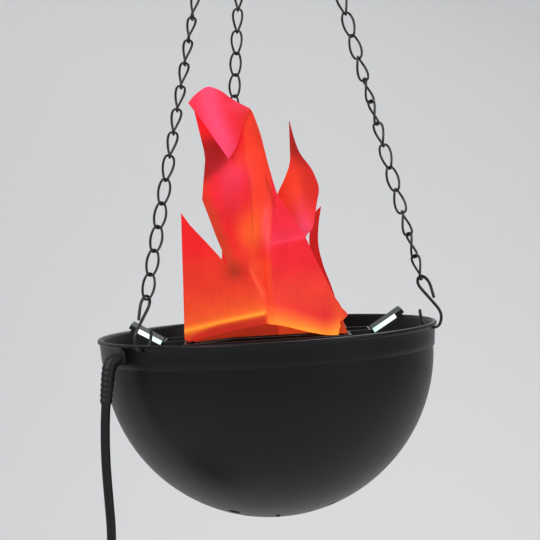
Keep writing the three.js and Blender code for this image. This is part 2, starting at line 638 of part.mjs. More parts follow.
// Light board for the silk with its moulded strip of lenses; side is 1 rear or -1 front
function flameLight(name, side) {
  const foot = DECK_Z + FIT;
  const y = side * FLAME_BOARD_Y;
  const half = FLAME_BOARD_LENGTH / 2;
  const board = box([-half, y - FLAME_BOARD_WIDTH / 2, foot], [half, y + FLAME_BOARD_WIDTH / 2, foot + BOARD_THICK]);
  add(lamp, `led_board_${name}`, board, 'board');
  const low = foot + BOARD_THICK + FIT;
  const strip = box([-half, y - LENS_WIDTH / 2, low], [half, y + LENS_WIDTH / 2, low + LENS_BASE]);
  const domes = Array.from({ length: LENS_COUNT }, (_, i) => {
    const x = ((i + 0.5) / LENS_COUNT - 0.5) * FLAME_BOARD_LENGTH;
    const tall = LENS_DOME_HEIGHT + LENS_BASE / 2;
    const dome = new THREE.CylinderGeometry(LENS_DOME_RADIUS / 2, LENS_DOME_RADIUS, tall, 8);
    const middle = low + LENS_BASE / 2 + tall / 2;
    return dome.rotateX(Math.PI / 2).translate(x, y, middle);
  });
  add(lamp, `led_lens_${name}`, join(strip, ...domes), 'lens');
}

function fanFrame() {
  const half = FAN_SIZE / 2;
  const corner = new THREE.Shape();
  corner.absarc(half - FAN_CORNER, half - FAN_CORNER, FAN_CORNER, 0, Math.PI / 2);
  corner.absarc(-half + FAN_CORNER, half - FAN_CORNER, FAN_CORNER, Math.PI / 2, Math.PI);
  corner.absarc(-half + FAN_CORNER, -half + FAN_CORNER, FAN_CORNER, Math.PI, 1.5 * Math.PI);
  corner.absarc(half - FAN_CORNER, -half + FAN_CORNER, FAN_CORNER, 1.5 * Math.PI, 2 * Math.PI);
  const holes = [circle(FAN_BORE_RADIUS, 28)];
  for (const [x, y] of FAN_CORNERS) holes.push(circle(FAN_HOLE_RADIUS, 8, x, y));
  const duct = plate(corner.getPoints(3), holes, FAN_BOTTOM, FAN_TOP);
  const motorPlate = post(MOTOR_PLATE_RADIUS, FAN_BOTTOM, FAN_BOTTOM + STRUT_THICK, 20);
  const bearing = post(BEARING_RADIUS, FAN_BOTTOM, FAN_BOTTOM + STRUT_THICK + BEARING_HEIGHT, 12);
  const struts = [0, 1, 2, 3].map((k) => box([0, -STRUT_WIDTH / 2, FAN_BOTTOM],
    [FAN_BORE_RADIUS + OVERRUN, STRUT_WIDTH / 2, FAN_BOTTOM + STRUT_THICK]).rotateZ(rad(90 * k)));
  const body = join(duct, motorPlate, bearing, ...struts);
  const bore = post(SHAFT_RADIUS + FIT, FAN_BOTTOM + STRUT_THICK, FAN_TOP, 12);
  add(lamp, 'fan_frame', cut(body, bore), 'blackPlastic');
}

function fan() {
  fanFrame();
  const floor = FAN_BOTTOM + STRUT_THICK + FIT;
  const stator = [[BEARING_RADIUS + FIT, floor], [STATOR_RADIUS, floor], [STATOR_RADIUS, floor + STATOR_HEIGHT],
    [BEARING_RADIUS + FIT, floor + STATOR_HEIGHT], [BEARING_RADIUS + FIT, floor]];
  add(lamp, 'fan_stator', turned(stator, 16), 'copper');
  const hubTop = FAN_TOP - HUB_SINK;
  const hubFloor = hubTop - HUB_HEIGHT;
  const roof = hubTop - HUB_WALL - FIT;
  add(lamp, 'fan_shaft', post(SHAFT_RADIUS, floor, hubTop - HUB_WALL / 2 - FIT, 12), 'steel');
  const socket = SHAFT_RADIUS + FIT;
  const hub = [[0, hubTop - HUB_WALL / 2], [socket, hubTop - HUB_WALL / 2], [socket, roof],
    [HUB_RADIUS - HUB_WALL, roof], [HUB_RADIUS - HUB_WALL, hubFloor], [HUB_RADIUS, hubFloor], [HUB_RADIUS, hubTop],
    [0, hubTop]];
  const blades = Array.from({ length: BLADE_COUNT }, (_, k) => {
    const blade = box([HUB_RADIUS - HUB_WALL / 2, -BLADE_CHORD / 2, -BLADE_THICK / 2],
      [BLADE_TIP_RADIUS, BLADE_CHORD / 2, BLADE_THICK / 2]);
    return blade.rotateX(rad(BLADE_PITCH)).translate(0, 0, (hubTop + hubFloor) / 2)
      .rotateZ((2 * Math.PI * k) / BLADE_COUNT);
  });
  const rotor = join(turned(hub, 20), ...blades);
  add(lamp, 'fan_impeller', rotor, 'blackPlastic');
  guard();
  FAN_CORNERS.forEach(([x, y], k) => {
    add(lamp, `fan_screw_${k + 1}`, screw(SCREW.fan), 'steel', V(x, y, DECK_Z));
  });
}

function guard() {
  const top = FAN_BOTTOM - FIT;
  const low = top - GUARD_THICK;
  const rings = GUARD_RING_RADII.map((r) => plate(circle(r + GUARD_BAR / 2, 16),
    [circle(r - GUARD_BAR / 2, 16)], low, top));
  const reach = Math.hypot(halfHoles, halfHoles);
  const arms = [45, 135, 225, 315].map((turn) => box([GUARD_RING_RADII[0], -GUARD_BAR / 2, low],
    [reach, GUARD_BAR / 2, top]).rotateZ(rad(turn)));
  const ears = FAN_CORNERS.map(([x, y]) => post(GUARD_EAR_RADIUS, low - GUARD_THICK, top, 10, x, y));
  const under = low - GUARD_THICK - OVERRUN;
  const holes = FAN_CORNERS.map(([x, y]) => post(SCREW.fan[0] + FIT, under, top + OVERRUN, 10, x, y));
  add(lamp, 'fan_guard', cut(join(...rings, ...arms, ...ears), ...holes), 'steel');
}

function powerParts() {
  const holes = [circle(BASE_PLATE_HOLE, 20)];
  for (let k = 0; k < 4; k += 1) {
    const at = polar(BASE_SCREW_CIRCLE, BASE_SCREW_AZIMUTH + 90 * k);
    holes.push(circle(SCREW.base[0] + FIT, 8, at.x, at.y));
  }
  const room = Math.sqrt(BOWL_INNER ** 2 - (SPHERE_Z - PLATE_BOTTOM) ** 2);
  const sheet = plate(circle(room - BASE_PLATE_EDGE_GAP, 32), holes, PLATE_BOTTOM, PLATE_TOP);
  const [boardX, boardY] = BOARD_SIZE;
  const inset = 2 * STANDOFF_RADIUS;
  const standoffs = [[-1, -1], [1, -1], [1, 1], [-1, 1]].map(([a, b]) => post(STANDOFF_RADIUS,
    PLATE_BOTTOM + BASE_PLATE_THICK / 2, PLATE_TOP + STANDOFF_HEIGHT, 8,
    BOARD_X + a * (boardX / 2 - inset), b * (boardY / 2 - inset)));
  add(lamp, 'base_plate', join(sheet, ...standoffs), 'steel');
  const boardFoot = PLATE_TOP + STANDOFF_HEIGHT + FIT;
  const boardTop = boardFoot + BOARD_THICK;
  add(lamp, 'driver_board', box([BOARD_X - boardX / 2, -boardY / 2, boardFoot],
    [BOARD_X + boardX / 2, boardY / 2, boardTop]), 'board');
  add(lamp, 'capacitor', post(CAPACITOR_RADIUS, boardTop + FIT, boardTop + FIT + CAPACITOR_HEIGHT, 12,
    BOARD_X + boardX / 4, boardY / 4), 'greyPlastic');
  transformer();
  const [tx, ty, tz] = TERMINAL_SIZE;
  add(lamp, 'terminal_block', box([-tx / 2, TERMINAL_Y - ty / 2, PLATE_TOP + FIT],
    [tx / 2, TERMINAL_Y + ty / 2, PLATE_TOP + FIT + tz]), 'greyPlastic');
}

// Laminated core with two windows, and the winding round its middle limb
function transformer() {
  const foot = PLATE_TOP + FIT;
  const [cx, cy] = [CORE_LENGTH, CORE_WIDTH];
  const cz = FAN_BOTTOM - PLATE_TOP - CORE_HEADROOM;
  const [windowWidth, windowHeight] = CORE_WINDOW;
  const limb = cy / 2 - windowWidth;
  const limbHalf = limb / 2;
  const sill = foot + (cz - windowHeight) / 2;
  const body = box([CORE_X - cx / 2, CORE_Y - cy / 2, foot], [CORE_X + cx / 2, CORE_Y + cy / 2, foot + cz]);
  const windows = [-1, 1].map((side) => {
    const near = CORE_Y + side * limbHalf;
    const far = near + side * windowWidth;
    return box([CORE_X - cx / 2 - OVERRUN, Math.min(near, far), sill],
      [CORE_X + cx / 2 + OVERRUN, Math.max(near, far), sill + windowHeight]);
  });
  add(lamp, 'transformer_core', cut(body, ...windows), 'steel');
  const outer = rectangle(cx / 2 + COIL_SIDE, limbHalf + windowWidth - COIL_GAP, CORE_X, CORE_Y);
  const inner = rectangle(cx / 2 + COIL_GAP, limbHalf + COIL_GAP, CORE_X, CORE_Y);
  add(lamp, 'transformer_coil', plate(outer, [inner], sill + COIL_GAP, sill + windowHeight - COIL_GAP), 'copper');
}

// Leads inside the bowl
const MAINS_LEAD_POINTS = [[-87.9, -61.5, -8], [-83.5, -58.6, -8.4], [-78, -57.4, -11.5], [-75, -58, -18],
  [-74, -58, -30], [-66, -56, -52], [-50, -52, -70], [-32, -50, -82], [-20, -50, -89], [-12.4, -50, -89.6]];
const FAN_LEAD_POINTS = [[-37.5, -21, -44.7], [-37.5, -21, -52], [-30, -18, -64], [-38, -8, -76], [-40, -6, -88.4]];
const LED_LEAD_POINTS = { front: [[-31.4, -43.4, -15.3], [-35.5, -45, -15], [-38, -46, -17.6], [-38.6, -46, -23],
  [-44, -44, -34], [-48, -36, -60], [-48, -22, -78], [-48, -20, -88.4]],
rear: [[-31.4, 43.4, -15.3], [-35.5, 45, -15], [-38, 46, -17.6], [-38.6, 46, -23], [-44, 44, -34],
  [-48, 36, -60], [-48, 22, -78], [-48, 20, -88.4]] };
const SMALL_LEAD = 2.4;

function innerLeads() {
  const vectors = (points) => points.map((p) => V(...p));
  add(lamp, 'mains_lead', wire(vectors(MAINS_LEAD_POINTS), CORD_DIAMETER, 16, 8), 'cord');
  add(lamp, 'fan_lead', wire(vectors(FAN_LEAD_POINTS), SMALL_LEAD, 8, 6), 'cord');
  add(lamp, 'led_lead_front', wire(vectors(LED_LEAD_POINTS.front), SMALL_LEAD, 12, 6), 'cord');
  add(lamp, 'led_lead_rear', wire(vectors(LED_LEAD_POINTS.rear), SMALL_LEAD, 12, 6), 'cord');
}

// Silk tongues: rows of height, left edge, right edge and depth, in shares of the flame from its hem's middle
const TONGUES = {
  silk_left: {
    rows: [[0, -0.5, -0.003, 0], [0.13, -0.495, -0.005, 0.01], [0.26, -0.49, -0.06, 0.02],
      [0.31, -0.488, -0.23, 0.01], [0.4, -0.485, -0.35, 0], [0.47, -0.482, -0.43, -0.01],
      [0.515, -0.481, -0.467, -0.01]],
    lift: 0.065, hemEnd: 0.5, ridge: [0.29, 0.55], folds: [[[-0.49, 0.1], [-0.1, 0.28], 0.12]],
  },
  silk_tall: {
    rows: [[0, 0.003, 0.43, 0], [0.09, 0.004, 0.49, 0.01], [0.15, 0.005, 0.42, 0.02], [0.25, 0.0, 0.34, 0.02],
      [0.3, -0.2, 0.31, 0.01], [0.38, -0.255, 0.265, 0.01], [0.47, -0.3, 0.2, 0], [0.56, -0.345, 0.115, 0],
      [0.7, -0.315, 0.06, 0], [0.8, -0.335, 0.025, 0], [0.91, -0.37, -0.03, 0], [0.945, -0.395, -0.1, 0],
      [0.975, -0.35, -0.17, 0], [1, -0.29, -0.25, 0]],
    lift: 0.065, hemEnd: 0.43, ridge: [0.29, 0.75],
    folds: [[[-0.4, 0.93], [-0.17, 0.7], 0.55], [[-0.17, 0.7], [-0.02, 0.9], -0.35], [[-0.34, 0.56], [0.1, 0.3], 0.25]],
  },
  silk_right: {
    rows: [[0, 0.07, 0.46, 0.2], [0.25, 0.07, 0.32, 0.18], [0.38, 0.08, 0.29, 0.17], [0.46, 0.09, 0.34, 0.16],
      [0.56, 0.115, 0.365, 0.15], [0.62, 0.16, 0.34, 0.15], [0.7, 0.195, 0.275, 0.15], [0.78, 0.202, 0.23, 0.15],
      [0.85, 0.205, 0.219, 0.15]],
    offset: -1.6, folds: [[[0.1, 0.45], [0.35, 0.3], 0.3], [[0.2, 0.85], [0.3, 0.4], 0.3]],
  },
  silk_far_right: {
    rows: [[0, 0.28, 0.49, 0.27], [0.1, 0.34, 0.46, 0.27], [0.2, 0.33, 0.41, 0.27], [0.27, 0.305, 0.375, 0.27],
      [0.35, 0.29, 0.35, 0.27], [0.43, 0.31, 0.358, 0.27], [0.5, 0.362, 0.376, 0.27]],
    offset: 1.6, folds: [],
  },
  silk_back: {
    rows: [[0, -0.45, 0.08, 0.26], [0.17, -0.36, 0.075, 0.25], [0.3, -0.21, 0.07, 0.24], [0.4, -0.21, 0.05, 0.24],
      [0.55, -0.23, 0.03, 0.23], [0.68, -0.19, 0, 0.22], [0.8, -0.12, -0.08, 0.21]],
    offset: 0, folds: [[[-0.12, 0], [-0.1, 0.8], 0.3], [[-0.25, 0], [-0.2, 0.7], -0.2]],
  },
};
const HEM_RISE_SHARE = 0.2;
const FOLD_SHARE = 0.3;

// Height of a fold at a place: nothing on one side of its line, and a steady slope on the other
function foldDepth([[ax, ay], [bx, by], slope], x, up) {
  const [dx, dy] = [(bx - ax) * SILK_WIDTH, (by - ay) * SILK_HEIGHT];
  const away = ((x - ax * SILK_WIDTH) * dy - (up - ay * SILK_HEIGHT) * dx) / Math.hypot(dx, dy);
  return Math.max(0, away * Math.sign(slope)) * Math.abs(slope);
}

// Depth of the rear bars under a hem
function rearBar(x) {
  const run = FRAME_HALF_LENGTH - FRAME_REAR_HALF;
  const share = Math.min(1, Math.max(0, (FRAME_HALF_LENGTH - Math.abs(x)) / run));
  return FRAME_CORNER_Y + (FRAME_REAR_Y - FRAME_CORNER_Y) * share;
}

function clothPlace(shape, up, depth, x) {
  const inward = Math.max(0, 1 - Math.abs(x) / (SILK_WIDTH / 2));
  const hemInward = Math.max(0, 1 - Math.abs(x) / ((shape.hemEnd ?? 0) * SILK_WIDTH + FIT));
  const lifted = (shape.lift ?? 0) * SILK_HEIGHT * hemInward * Math.max(0, 1 - up / HEM_RISE_SHARE);
  const z = up * SILK_HEIGHT + lifted;
  const bend = shape.folds.reduce((sum, fold) => sum + foldDepth(fold, x, z), 0) * FOLD_SHARE;
  const free = FRAME_CORNER_Y + depth * SILK_WIDTH - bend;
  if (shape.ridge) {
    const [reach, top] = shape.ridge;
    return [free - reach * SILK_WIDTH * inward * Math.max(0, 1 - up / top), z];
  }
  const share = Math.min(1, up / HEM_RISE_SHARE);
  return [THREE.MathUtils.lerp(rearBar(x) + shape.offset, free, share), z];
}

function tongue(shape) {
  const { rows } = shape;
  const places = [];
  const layer = rows.length * (SILK_COLUMNS + 1);
  for (const face of [-1, 1]) {
    for (const [up, left, right, depth] of rows) {
      for (let k = 0; k <= SILK_COLUMNS; k += 1) {
        const width = Math.max((right - left) * SILK_WIDTH, SILK_TIP_WIDTH);
        const x = left * SILK_WIDTH + (width * k) / SILK_COLUMNS;
        const [y, z] = clothPlace(shape, up, depth, x);
        places.push(x, y + (face * SILK_THICK) / 2, HEM_Z + z);
      }
    }
  }
  const at = (i, k, back) => i * (SILK_COLUMNS + 1) + k + (back ? layer : 0);
  const faces = [];
  const quad = (a, b, c, d) => faces.push(a, b, c, a, c, d);
  for (let i = 0; i + 1 < rows.length; i += 1) {
    for (let k = 0; k < SILK_COLUMNS; k += 1) {
      quad(at(i, k, 0), at(i, k + 1, 0), at(i + 1, k + 1, 0), at(i + 1, k, 0));
      quad(at(i, k, 1), at(i + 1, k, 1), at(i + 1, k + 1, 1), at(i, k + 1, 1));
    }
    quad(at(i, 0, 1), at(i, 0, 0), at(i + 1, 0, 0), at(i + 1, 0, 1));
    quad(at(i, SILK_COLUMNS, 0), at(i, SILK_COLUMNS, 1), at(i + 1, SILK_COLUMNS, 1), at(i + 1, SILK_COLUMNS, 0));
  }
  const top = rows.length - 1;
  for (let k = 0; k < SILK_COLUMNS; k += 1) {
    quad(at(0, k, 1), at(0, k + 1, 1), at(0, k + 1, 0), at(0, k, 0));
    quad(at(top, k, 0), at(top, k + 1, 0), at(top, k + 1, 1), at(top, k, 1));
  }
  const cloth = new THREE.BufferGeometry();
  cloth.setAttribute('position', new THREE.Float32BufferAttribute(places, 3));
  return cloth.setIndex(faces);
}

function silk() {
  for (const [name, shape] of Object.entries(TONGUES)) {
    add(lamp, name, tongue(shape), name === 'silk_back' ? 'silkDeep' : 'silk');
  }
}

// Elbow relief: a neck and two flanges through the rim, then a tapered sleeve that turns down
function cordRelief() {
  const out = (r, z) => polar(r, CORD_AZIMUTH, z);
  const z = -CORD_HOLE_DEPTH;
  const wallOut = BAND_FOOT + BAND_DRAFT + HOLE_FIT;
  const wallIn = (BAND_FOOT - BOWL_WALL) * Math.cos(Math.PI / BOWL_SIDES) - HOLE_FIT;
  const flange = (r) => rod(RELIEF_FLANGE_RADIUS, out(r, z), out(r + RELIEF_FLANGE_THICK, z), 14);
  const neck = rod(RELIEF_NECK_RADIUS, out(wallIn - RELIEF_FLANGE_THICK, z),
    out(wallOut + RELIEF_FLANGE_THICK, z), 14);
  const start = out(wallOut + RELIEF_FLANGE_THICK / 2, z);
  const sleeve = [start, ...RELIEF_POINTS.map((p) => V(...p))];
  const last = sleeve.length - 1;
  const radii = sleeve.map((_, i) => THREE.MathUtils.lerp(RELIEF_START_RADIUS, RELIEF_END_RADIUS, i / last));
  const body = join(flange(wallIn - RELIEF_FLANGE_THICK), flange(wallOut), neck, taperedTube(sleeve, radii, 10));
  add(lamp, 'cord_relief', body, 'blackPlastic');
}

// Route of the elbow, then of the free lead, chosen by hand
const RELIEF_POINTS = [[-97, -67.9, -8.4], [-99.6, -69.7, -9.8], [-101.5, -71, -12.6], [-102.6, -71.8, -16.4],
  [-103.6, -72.6, -22.5], [-104.6, -73.2, -30], [-105.4, -73.7, -37]];
const CORD_POINTS = [[-105.45, -73.75, -37.3], [-106, -74, -42.8], [-106.7, -74.2, -51], [-107.2, -74.4, -60],
  [-107.5, -74.5, -68.5], [-107.6, -74.5, -77], [-107.5, -74.5, -86], [-107.3, -74.5, -94.4],
  [-107.1, -74.5, -103], [-106.9, -74.5, -111.6], [-107, -74.5, -120], [-107.6, -74.5, -129],
  [-109.2, -74.5, -138], [-112, -74.5, -146.5]];

// The put away length: loops that spiral in and out at a steady rate and climb a layer at each reversal
function coilPoints() {
  const turnsPerLayer = COIL_TURNS / COIL_LAYERS;
  const swing = (turnsPerLayer * COIL_PITCH) / 2;
  const total = COIL_TURNS * COIL_STEPS;
  return Array.from({ length: total + 1 }, (_, i) => {
    const turns = i / COIL_STEPS;
    const leg = turns / turnsPerLayer;
    const within = leg % 2;
    const share = within < 1 ? within : 2 - within;
    const radius = COIL_MIDDLE_RADIUS + swing - 2 * swing * share;
    let layer = Math.floor(leg);
    const near = Math.round(leg);
    const climb = (turns - near * turnsPerLayer) * 2 + 0.5;
    if (near > 0 && near < COIL_LAYERS && climb >= 0 && climb <= 1) layer = near - 1 + climb;
    else if (near === COIL_LAYERS) layer = COIL_LAYERS - 1;
    const angle = rad(COIL_START) + 2 * Math.PI * turns;
    return V(COIL_CENTRE[0] + radius * Math.cos(angle), COIL_CENTRE[1] + layer * COIL_PITCH,
      COIL_CENTRE[2] + radius * Math.sin(angle));
  });
}

// Least gap between turns: points more than a third of a turn apart along the lead
function leastGap(points) {
  let least = Infinity;
  const apart = COIL_STEPS / 3;
  points.forEach((p, i) => {
    for (let k = i + apart; k < points.length; k += 1) least = Math.min(least, p.distanceTo(points[k]));
  });
  return least - CORD_DIAMETER;
}

function mainsCord() {
  const points = coilPoints();
  console.log(`least gap of the coil to itself: ${leastGap(points).toFixed(2)} mm`);
  const entry = points[1].clone().sub(points[0]).normalize();
  const first = points[0].clone().addScaledVector(entry, -CORD_DIAMETER);
  const leave = points.at(-1).clone().sub(points.at(-2)).normalize();
  const last = points.at(-1).clone().addScaledVector(leave, CORD_DIAMETER);
  const wound = [first, ...points, last];
  add(lamp, 'cord_coil', taperedTube(wound, wound.map(() => CORD_DIAMETER / 2), 6), 'cord');
  const end = first.clone().addScaledVector(entry, -FIT);
  const route = [...CORD_POINTS.map((p) => V(...p)), end];
  add(lamp, 'mains_cord', wire(route, CORD_DIAMETER, 18, 8), 'cord');
  tie();
  plug(last.clone().addScaledVector(leave, FIT), leave);
}

function tie() {
  const swing = ((COIL_TURNS / COIL_LAYERS) * COIL_PITCH) / 2;
  const reach = swing + CORD_DIAMETER / 2 + FIT;
  const low = COIL_CENTRE[1] - CORD_DIAMETER / 2 - FIT;
  const high = COIL_CENTRE[1] + (COIL_LAYERS - 1) * COIL_PITCH + CORD_DIAMETER / 2 + FIT;
  const middle = (low + high) / 2;
  const halfY = (high - low) / 2;
  const outer = rectangle(halfY + TIE_THICK, reach + TIE_THICK);
  const band = plate(outer, [rectangle(halfY, reach)], -TIE_WIDTH / 2, TIE_WIDTH / 2);
  band.rotateX(Math.PI / 2).rotateZ(Math.PI / 2);
  add(lamp, 'cord_tie', band, 'greyPlastic', V(COIL_CENTRE[0], middle, COIL_CENTRE[2] + COIL_MIDDLE_RADIUS));
}

// How much sooner than in width the plug's body reaches its full depth
const PLUG_DEPTH_SWELL = 1.15;

// Plug: a moulded body that narrows to the lead, with two pins on its far face
function plug(from, along) {
  const widths = [[0, 0.36], [0.3, 0.5], [0.45, 0.95], [0.6, 1], [0.95, 1], [1, 0.9]];
  const places = [];
  const faces = [];
  const sides = 12;
  widths.forEach(([share, width]) => {
    for (let k = 0; k < sides; k += 1) {
      const turn = (2 * Math.PI * k) / sides;
      places.push((PLUG_WIDTH / 2) * width * Math.cos(turn),
        (PLUG_DEPTH / 2) * Math.min(1, width * PLUG_DEPTH_SWELL) * Math.sin(turn), share * PLUG_LENGTH);
    }
  });
  for (let i = 0; i + 1 < widths.length; i += 1) {
    for (let k = 0; k < sides; k += 1) {
      const [a, b] = [i * sides + k, i * sides + ((k + 1) % sides)];
      faces.push(a, b, b + sides, a, b + sides, a + sides);
    }
  }
  const last = (widths.length - 1) * sides;
  for (let k = 1; k + 1 < sides; k += 1) faces.push(0, k + 1, k, last, last + k, last + k + 1);
  const body = new THREE.BufferGeometry();
  body.setAttribute('position', new THREE.Float32BufferAttribute(places, 3));
  body.setIndex(faces);
  const holder = new THREE.Group();
  holder.position.copy(from);
  holder.quaternion.setFromUnitVectors(V(0, 0, 1), along);
  lamp.add(holder);
  add(holder, 'plug', body, 'blackPlastic');
  for (const [name, side] of [['left', -1], ['right', 1]]) {
    const pin = post(PIN_RADIUS, PLUG_LENGTH + FIT, PLUG_LENGTH + PIN_LENGTH, 10, (side * PIN_SPACING) / 2, 0);
    add(holder, `plug_pin_${name}`, pin, 'brass');
  }
}

suspension();
bowl();
deck();
collar();
silkFrame();
glassSide('left', -1);
glassSide('right', 1);
flameLight('front', -1);
flameLight('rear', 1);
fan();
powerParts();
innerLeads();
silk();
cordRelief();
mainsCord();

export default light;
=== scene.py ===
"""Hanging LED flame light: a black bowl on three twisted-link chains, with silk tongues that stand up in
the air of a fan and glow from the lamps at their feet. Lengths in the tables are millimetres in the lamp's
own frame, whose origin is the middle of the rim, and every mesh is stored in metres in the frame of the
model."""
import math
from functools import cache

import bpy
import numpy as np
from mathutils import Matrix, Vector


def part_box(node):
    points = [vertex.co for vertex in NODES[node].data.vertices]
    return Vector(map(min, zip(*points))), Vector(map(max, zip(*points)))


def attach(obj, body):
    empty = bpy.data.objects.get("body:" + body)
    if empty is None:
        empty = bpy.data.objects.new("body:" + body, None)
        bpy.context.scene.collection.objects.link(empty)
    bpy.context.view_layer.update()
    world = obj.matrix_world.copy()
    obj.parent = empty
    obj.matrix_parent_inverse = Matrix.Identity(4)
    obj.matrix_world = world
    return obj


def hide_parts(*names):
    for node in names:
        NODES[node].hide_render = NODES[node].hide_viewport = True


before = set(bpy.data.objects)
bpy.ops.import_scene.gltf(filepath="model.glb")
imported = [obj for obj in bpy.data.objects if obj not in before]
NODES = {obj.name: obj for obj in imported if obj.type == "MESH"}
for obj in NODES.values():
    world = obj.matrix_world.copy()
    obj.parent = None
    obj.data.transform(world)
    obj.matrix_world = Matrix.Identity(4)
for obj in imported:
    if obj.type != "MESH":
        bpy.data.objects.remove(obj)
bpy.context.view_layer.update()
SCENE = bpy.context.scene
MM = 0.001

# Sizes that more than one piece uses, from the bowl's own box where it gives them

LOW_CORNER, HIGH_CORNER = (np.array(corner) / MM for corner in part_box("bowl"))
RIM = np.round([*(LOW_CORNER + HIGH_CORNER)[:2] / 2, HIGH_CORNER[2]], 1)
RIM_RADIUS = round(float(HIGH_CORNER[0] - RIM[0]), 1)
BOWL_RADIUS = RIM_RADIUS - 3
BOWL_WALL = 2.2
SPHERE_MIDDLE = -15.2
RIB_AZIMUTH = 43
BASE_SCREW_CIRCLE = 46
BASE_SCREW_AZIMUTH = 52
HEM = -7.2

# Camera: found from the rim's ellipse and the chains in the photograph

YAW, PITCH, ROLL = (math.radians(degrees) for degrees in (0.215, -2.391, -3.353))
CAMERA_FROM_RIM = (0, -1165, 88.367)
FOCAL_LENGTH = 114.46
SENSOR_WIDTH = 36
FARTHEST_SEEN = 20


def take_view():
    """Camera axes: forward = (sin yaw cos pitch, cos yaw cos pitch, sin pitch), then a roll about it."""
    forward = Vector((math.sin(YAW) * math.cos(PITCH), math.cos(YAW) * math.cos(PITCH), math.sin(PITCH)))
    level = Vector((math.cos(YAW), -math.sin(YAW), 0))
    upright = level.cross(forward)
    right = math.cos(ROLL) * level + math.sin(ROLL) * upright
    up = right.cross(forward)
    lens = bpy.data.cameras.new("photo_view")
    lens.lens = FOCAL_LENGTH
    lens.sensor_width = SENSOR_WIDTH
    lens.clip_end = FARTHEST_SEEN
    camera = bpy.data.objects.new("photo_view", lens)
    SCENE.collection.objects.link(camera)
    place = Matrix((right, up, -forward)).transposed().to_4x4()
    place.translation = Vector((RIM + CAMERA_FROM_RIM) * MM)
    camera.matrix_world = place
    SCENE.camera = camera


# Lines and turns


def run_along(line):
    """Length along a line up to each of its points."""
    return np.concatenate([[0], np.cumsum(np.linalg.norm(np.diff(line, axis=0), axis=1))])


def even(line, count):
    """The same line with its points spaced evenly along its length."""
    line = np.asarray(line, float)
    run = run_along(line)
    at = np.linspace(0, run[-1], count)
    return np.stack([np.interp(at, run, line[:, k]) for k in range(line.shape[1])], 1)


def flow(points, count):
    """A smooth line through points: Catmull-Rom in each span, sampled evenly along its length."""
    p = np.asarray(points, float)
    ends = np.vstack([2 * p[0] - p[1], p, 2 * p[-1] - p[-2]])
    t = np.linspace(0, len(p) - 1, 24 * (len(p) - 1) + 1)
    i = np.minimum(t.astype(int), len(p) - 2)
    f = (t - i)[:, None]
    a, b, c, d = (ends[i + k] for k in range(4))
    line = 0.5 * (2 * b + (c - a) * f + (2 * a - 5 * b + 4 * c - d) * f**2 + (3 * b - a - 3 * c + d) * f**3)
    return even(line, count)


def crisp(profile, reach=0.18):
    """A profile with each corner cut by a small chamfer, so that smooth shading keeps its edges."""
    p = np.asarray(profile, float)
    before, after = p[:-2] - p[1:-1], p[2:] - p[1:-1]
    lb, la = (np.linalg.norm(way, axis=1)[:, None] for way in (before, after))
    cut = np.minimum(reach, 0.3 * np.minimum(lb, la))
    pairs = np.stack([p[1:-1] + before / lb * cut, p[1:-1] + after / la * cut], 1).reshape(-1, 2)
    return np.vstack([p[:1], pairs, p[-1:]])


def unit(vector):
    """A direction of length 1."""
    return vector / np.linalg.norm(vector)


def polar(radius, degrees, z=0.0):
    """The point at a radius, an angle and a height."""
    turn = math.radians(degrees)
    return np.array([radius * math.cos(turn), radius * math.sin(turn), z])


def spin(angle):
    """A turn about the upright axis, used as points @ spin(angle)."""
    c, s = math.cos(angle), math.sin(angle)
    return np.array([[c, s, 0], [-s, c, 0], [0, 0, 1]])


def facing(direction):
    """The turn that lays the upright axis on a direction, used as points @ facing(direction)."""
    return np.array(Vector((0, 0, 1)).rotation_difference(Vector(direction)).to_matrix()).T


# Surfaces on grids


def cells(rows, columns, close_rows=False, close_columns=False):
    """Four corners of each cell of a grid whose points run row by row."""
    r = np.arange(rows if close_rows else rows - 1)[:, None]
    c = np.arange(columns if close_columns else columns - 1)[None, :]
    r2, c2 = (r + 1) % rows, (c + 1) % columns
    corners = [r * columns + c, r * columns + c2, r2 * columns + c2, r2 * columns + c]
    return np.stack(corners, -1).reshape(-1, 4)


def fan(start, sides, pole, forward=True):
    """Triangles from each edge of a ring of points, the first of which is start, to one pole."""
    here = start + np.arange(sides)
    after = np.roll(here, -1)
    edge = (here, after) if forward else (after, here)
    return np.stack([*edge, np.full(sides, pole)], 1)


def around(radius, turn, height):
    """Points (r cos a, r sin a, z) of arrays that broadcast together, row by row."""
    r, a, z = np.broadcast_arrays(radius, turn, height)
    return np.stack([r * np.cos(a), r * np.sin(a), z], -1).reshape(-1, 3)


def circle(sides):
    """Angles of a full turn, the first of them 0."""
    return np.linspace(0, 2 * np.pi, sides, endpoint=False)


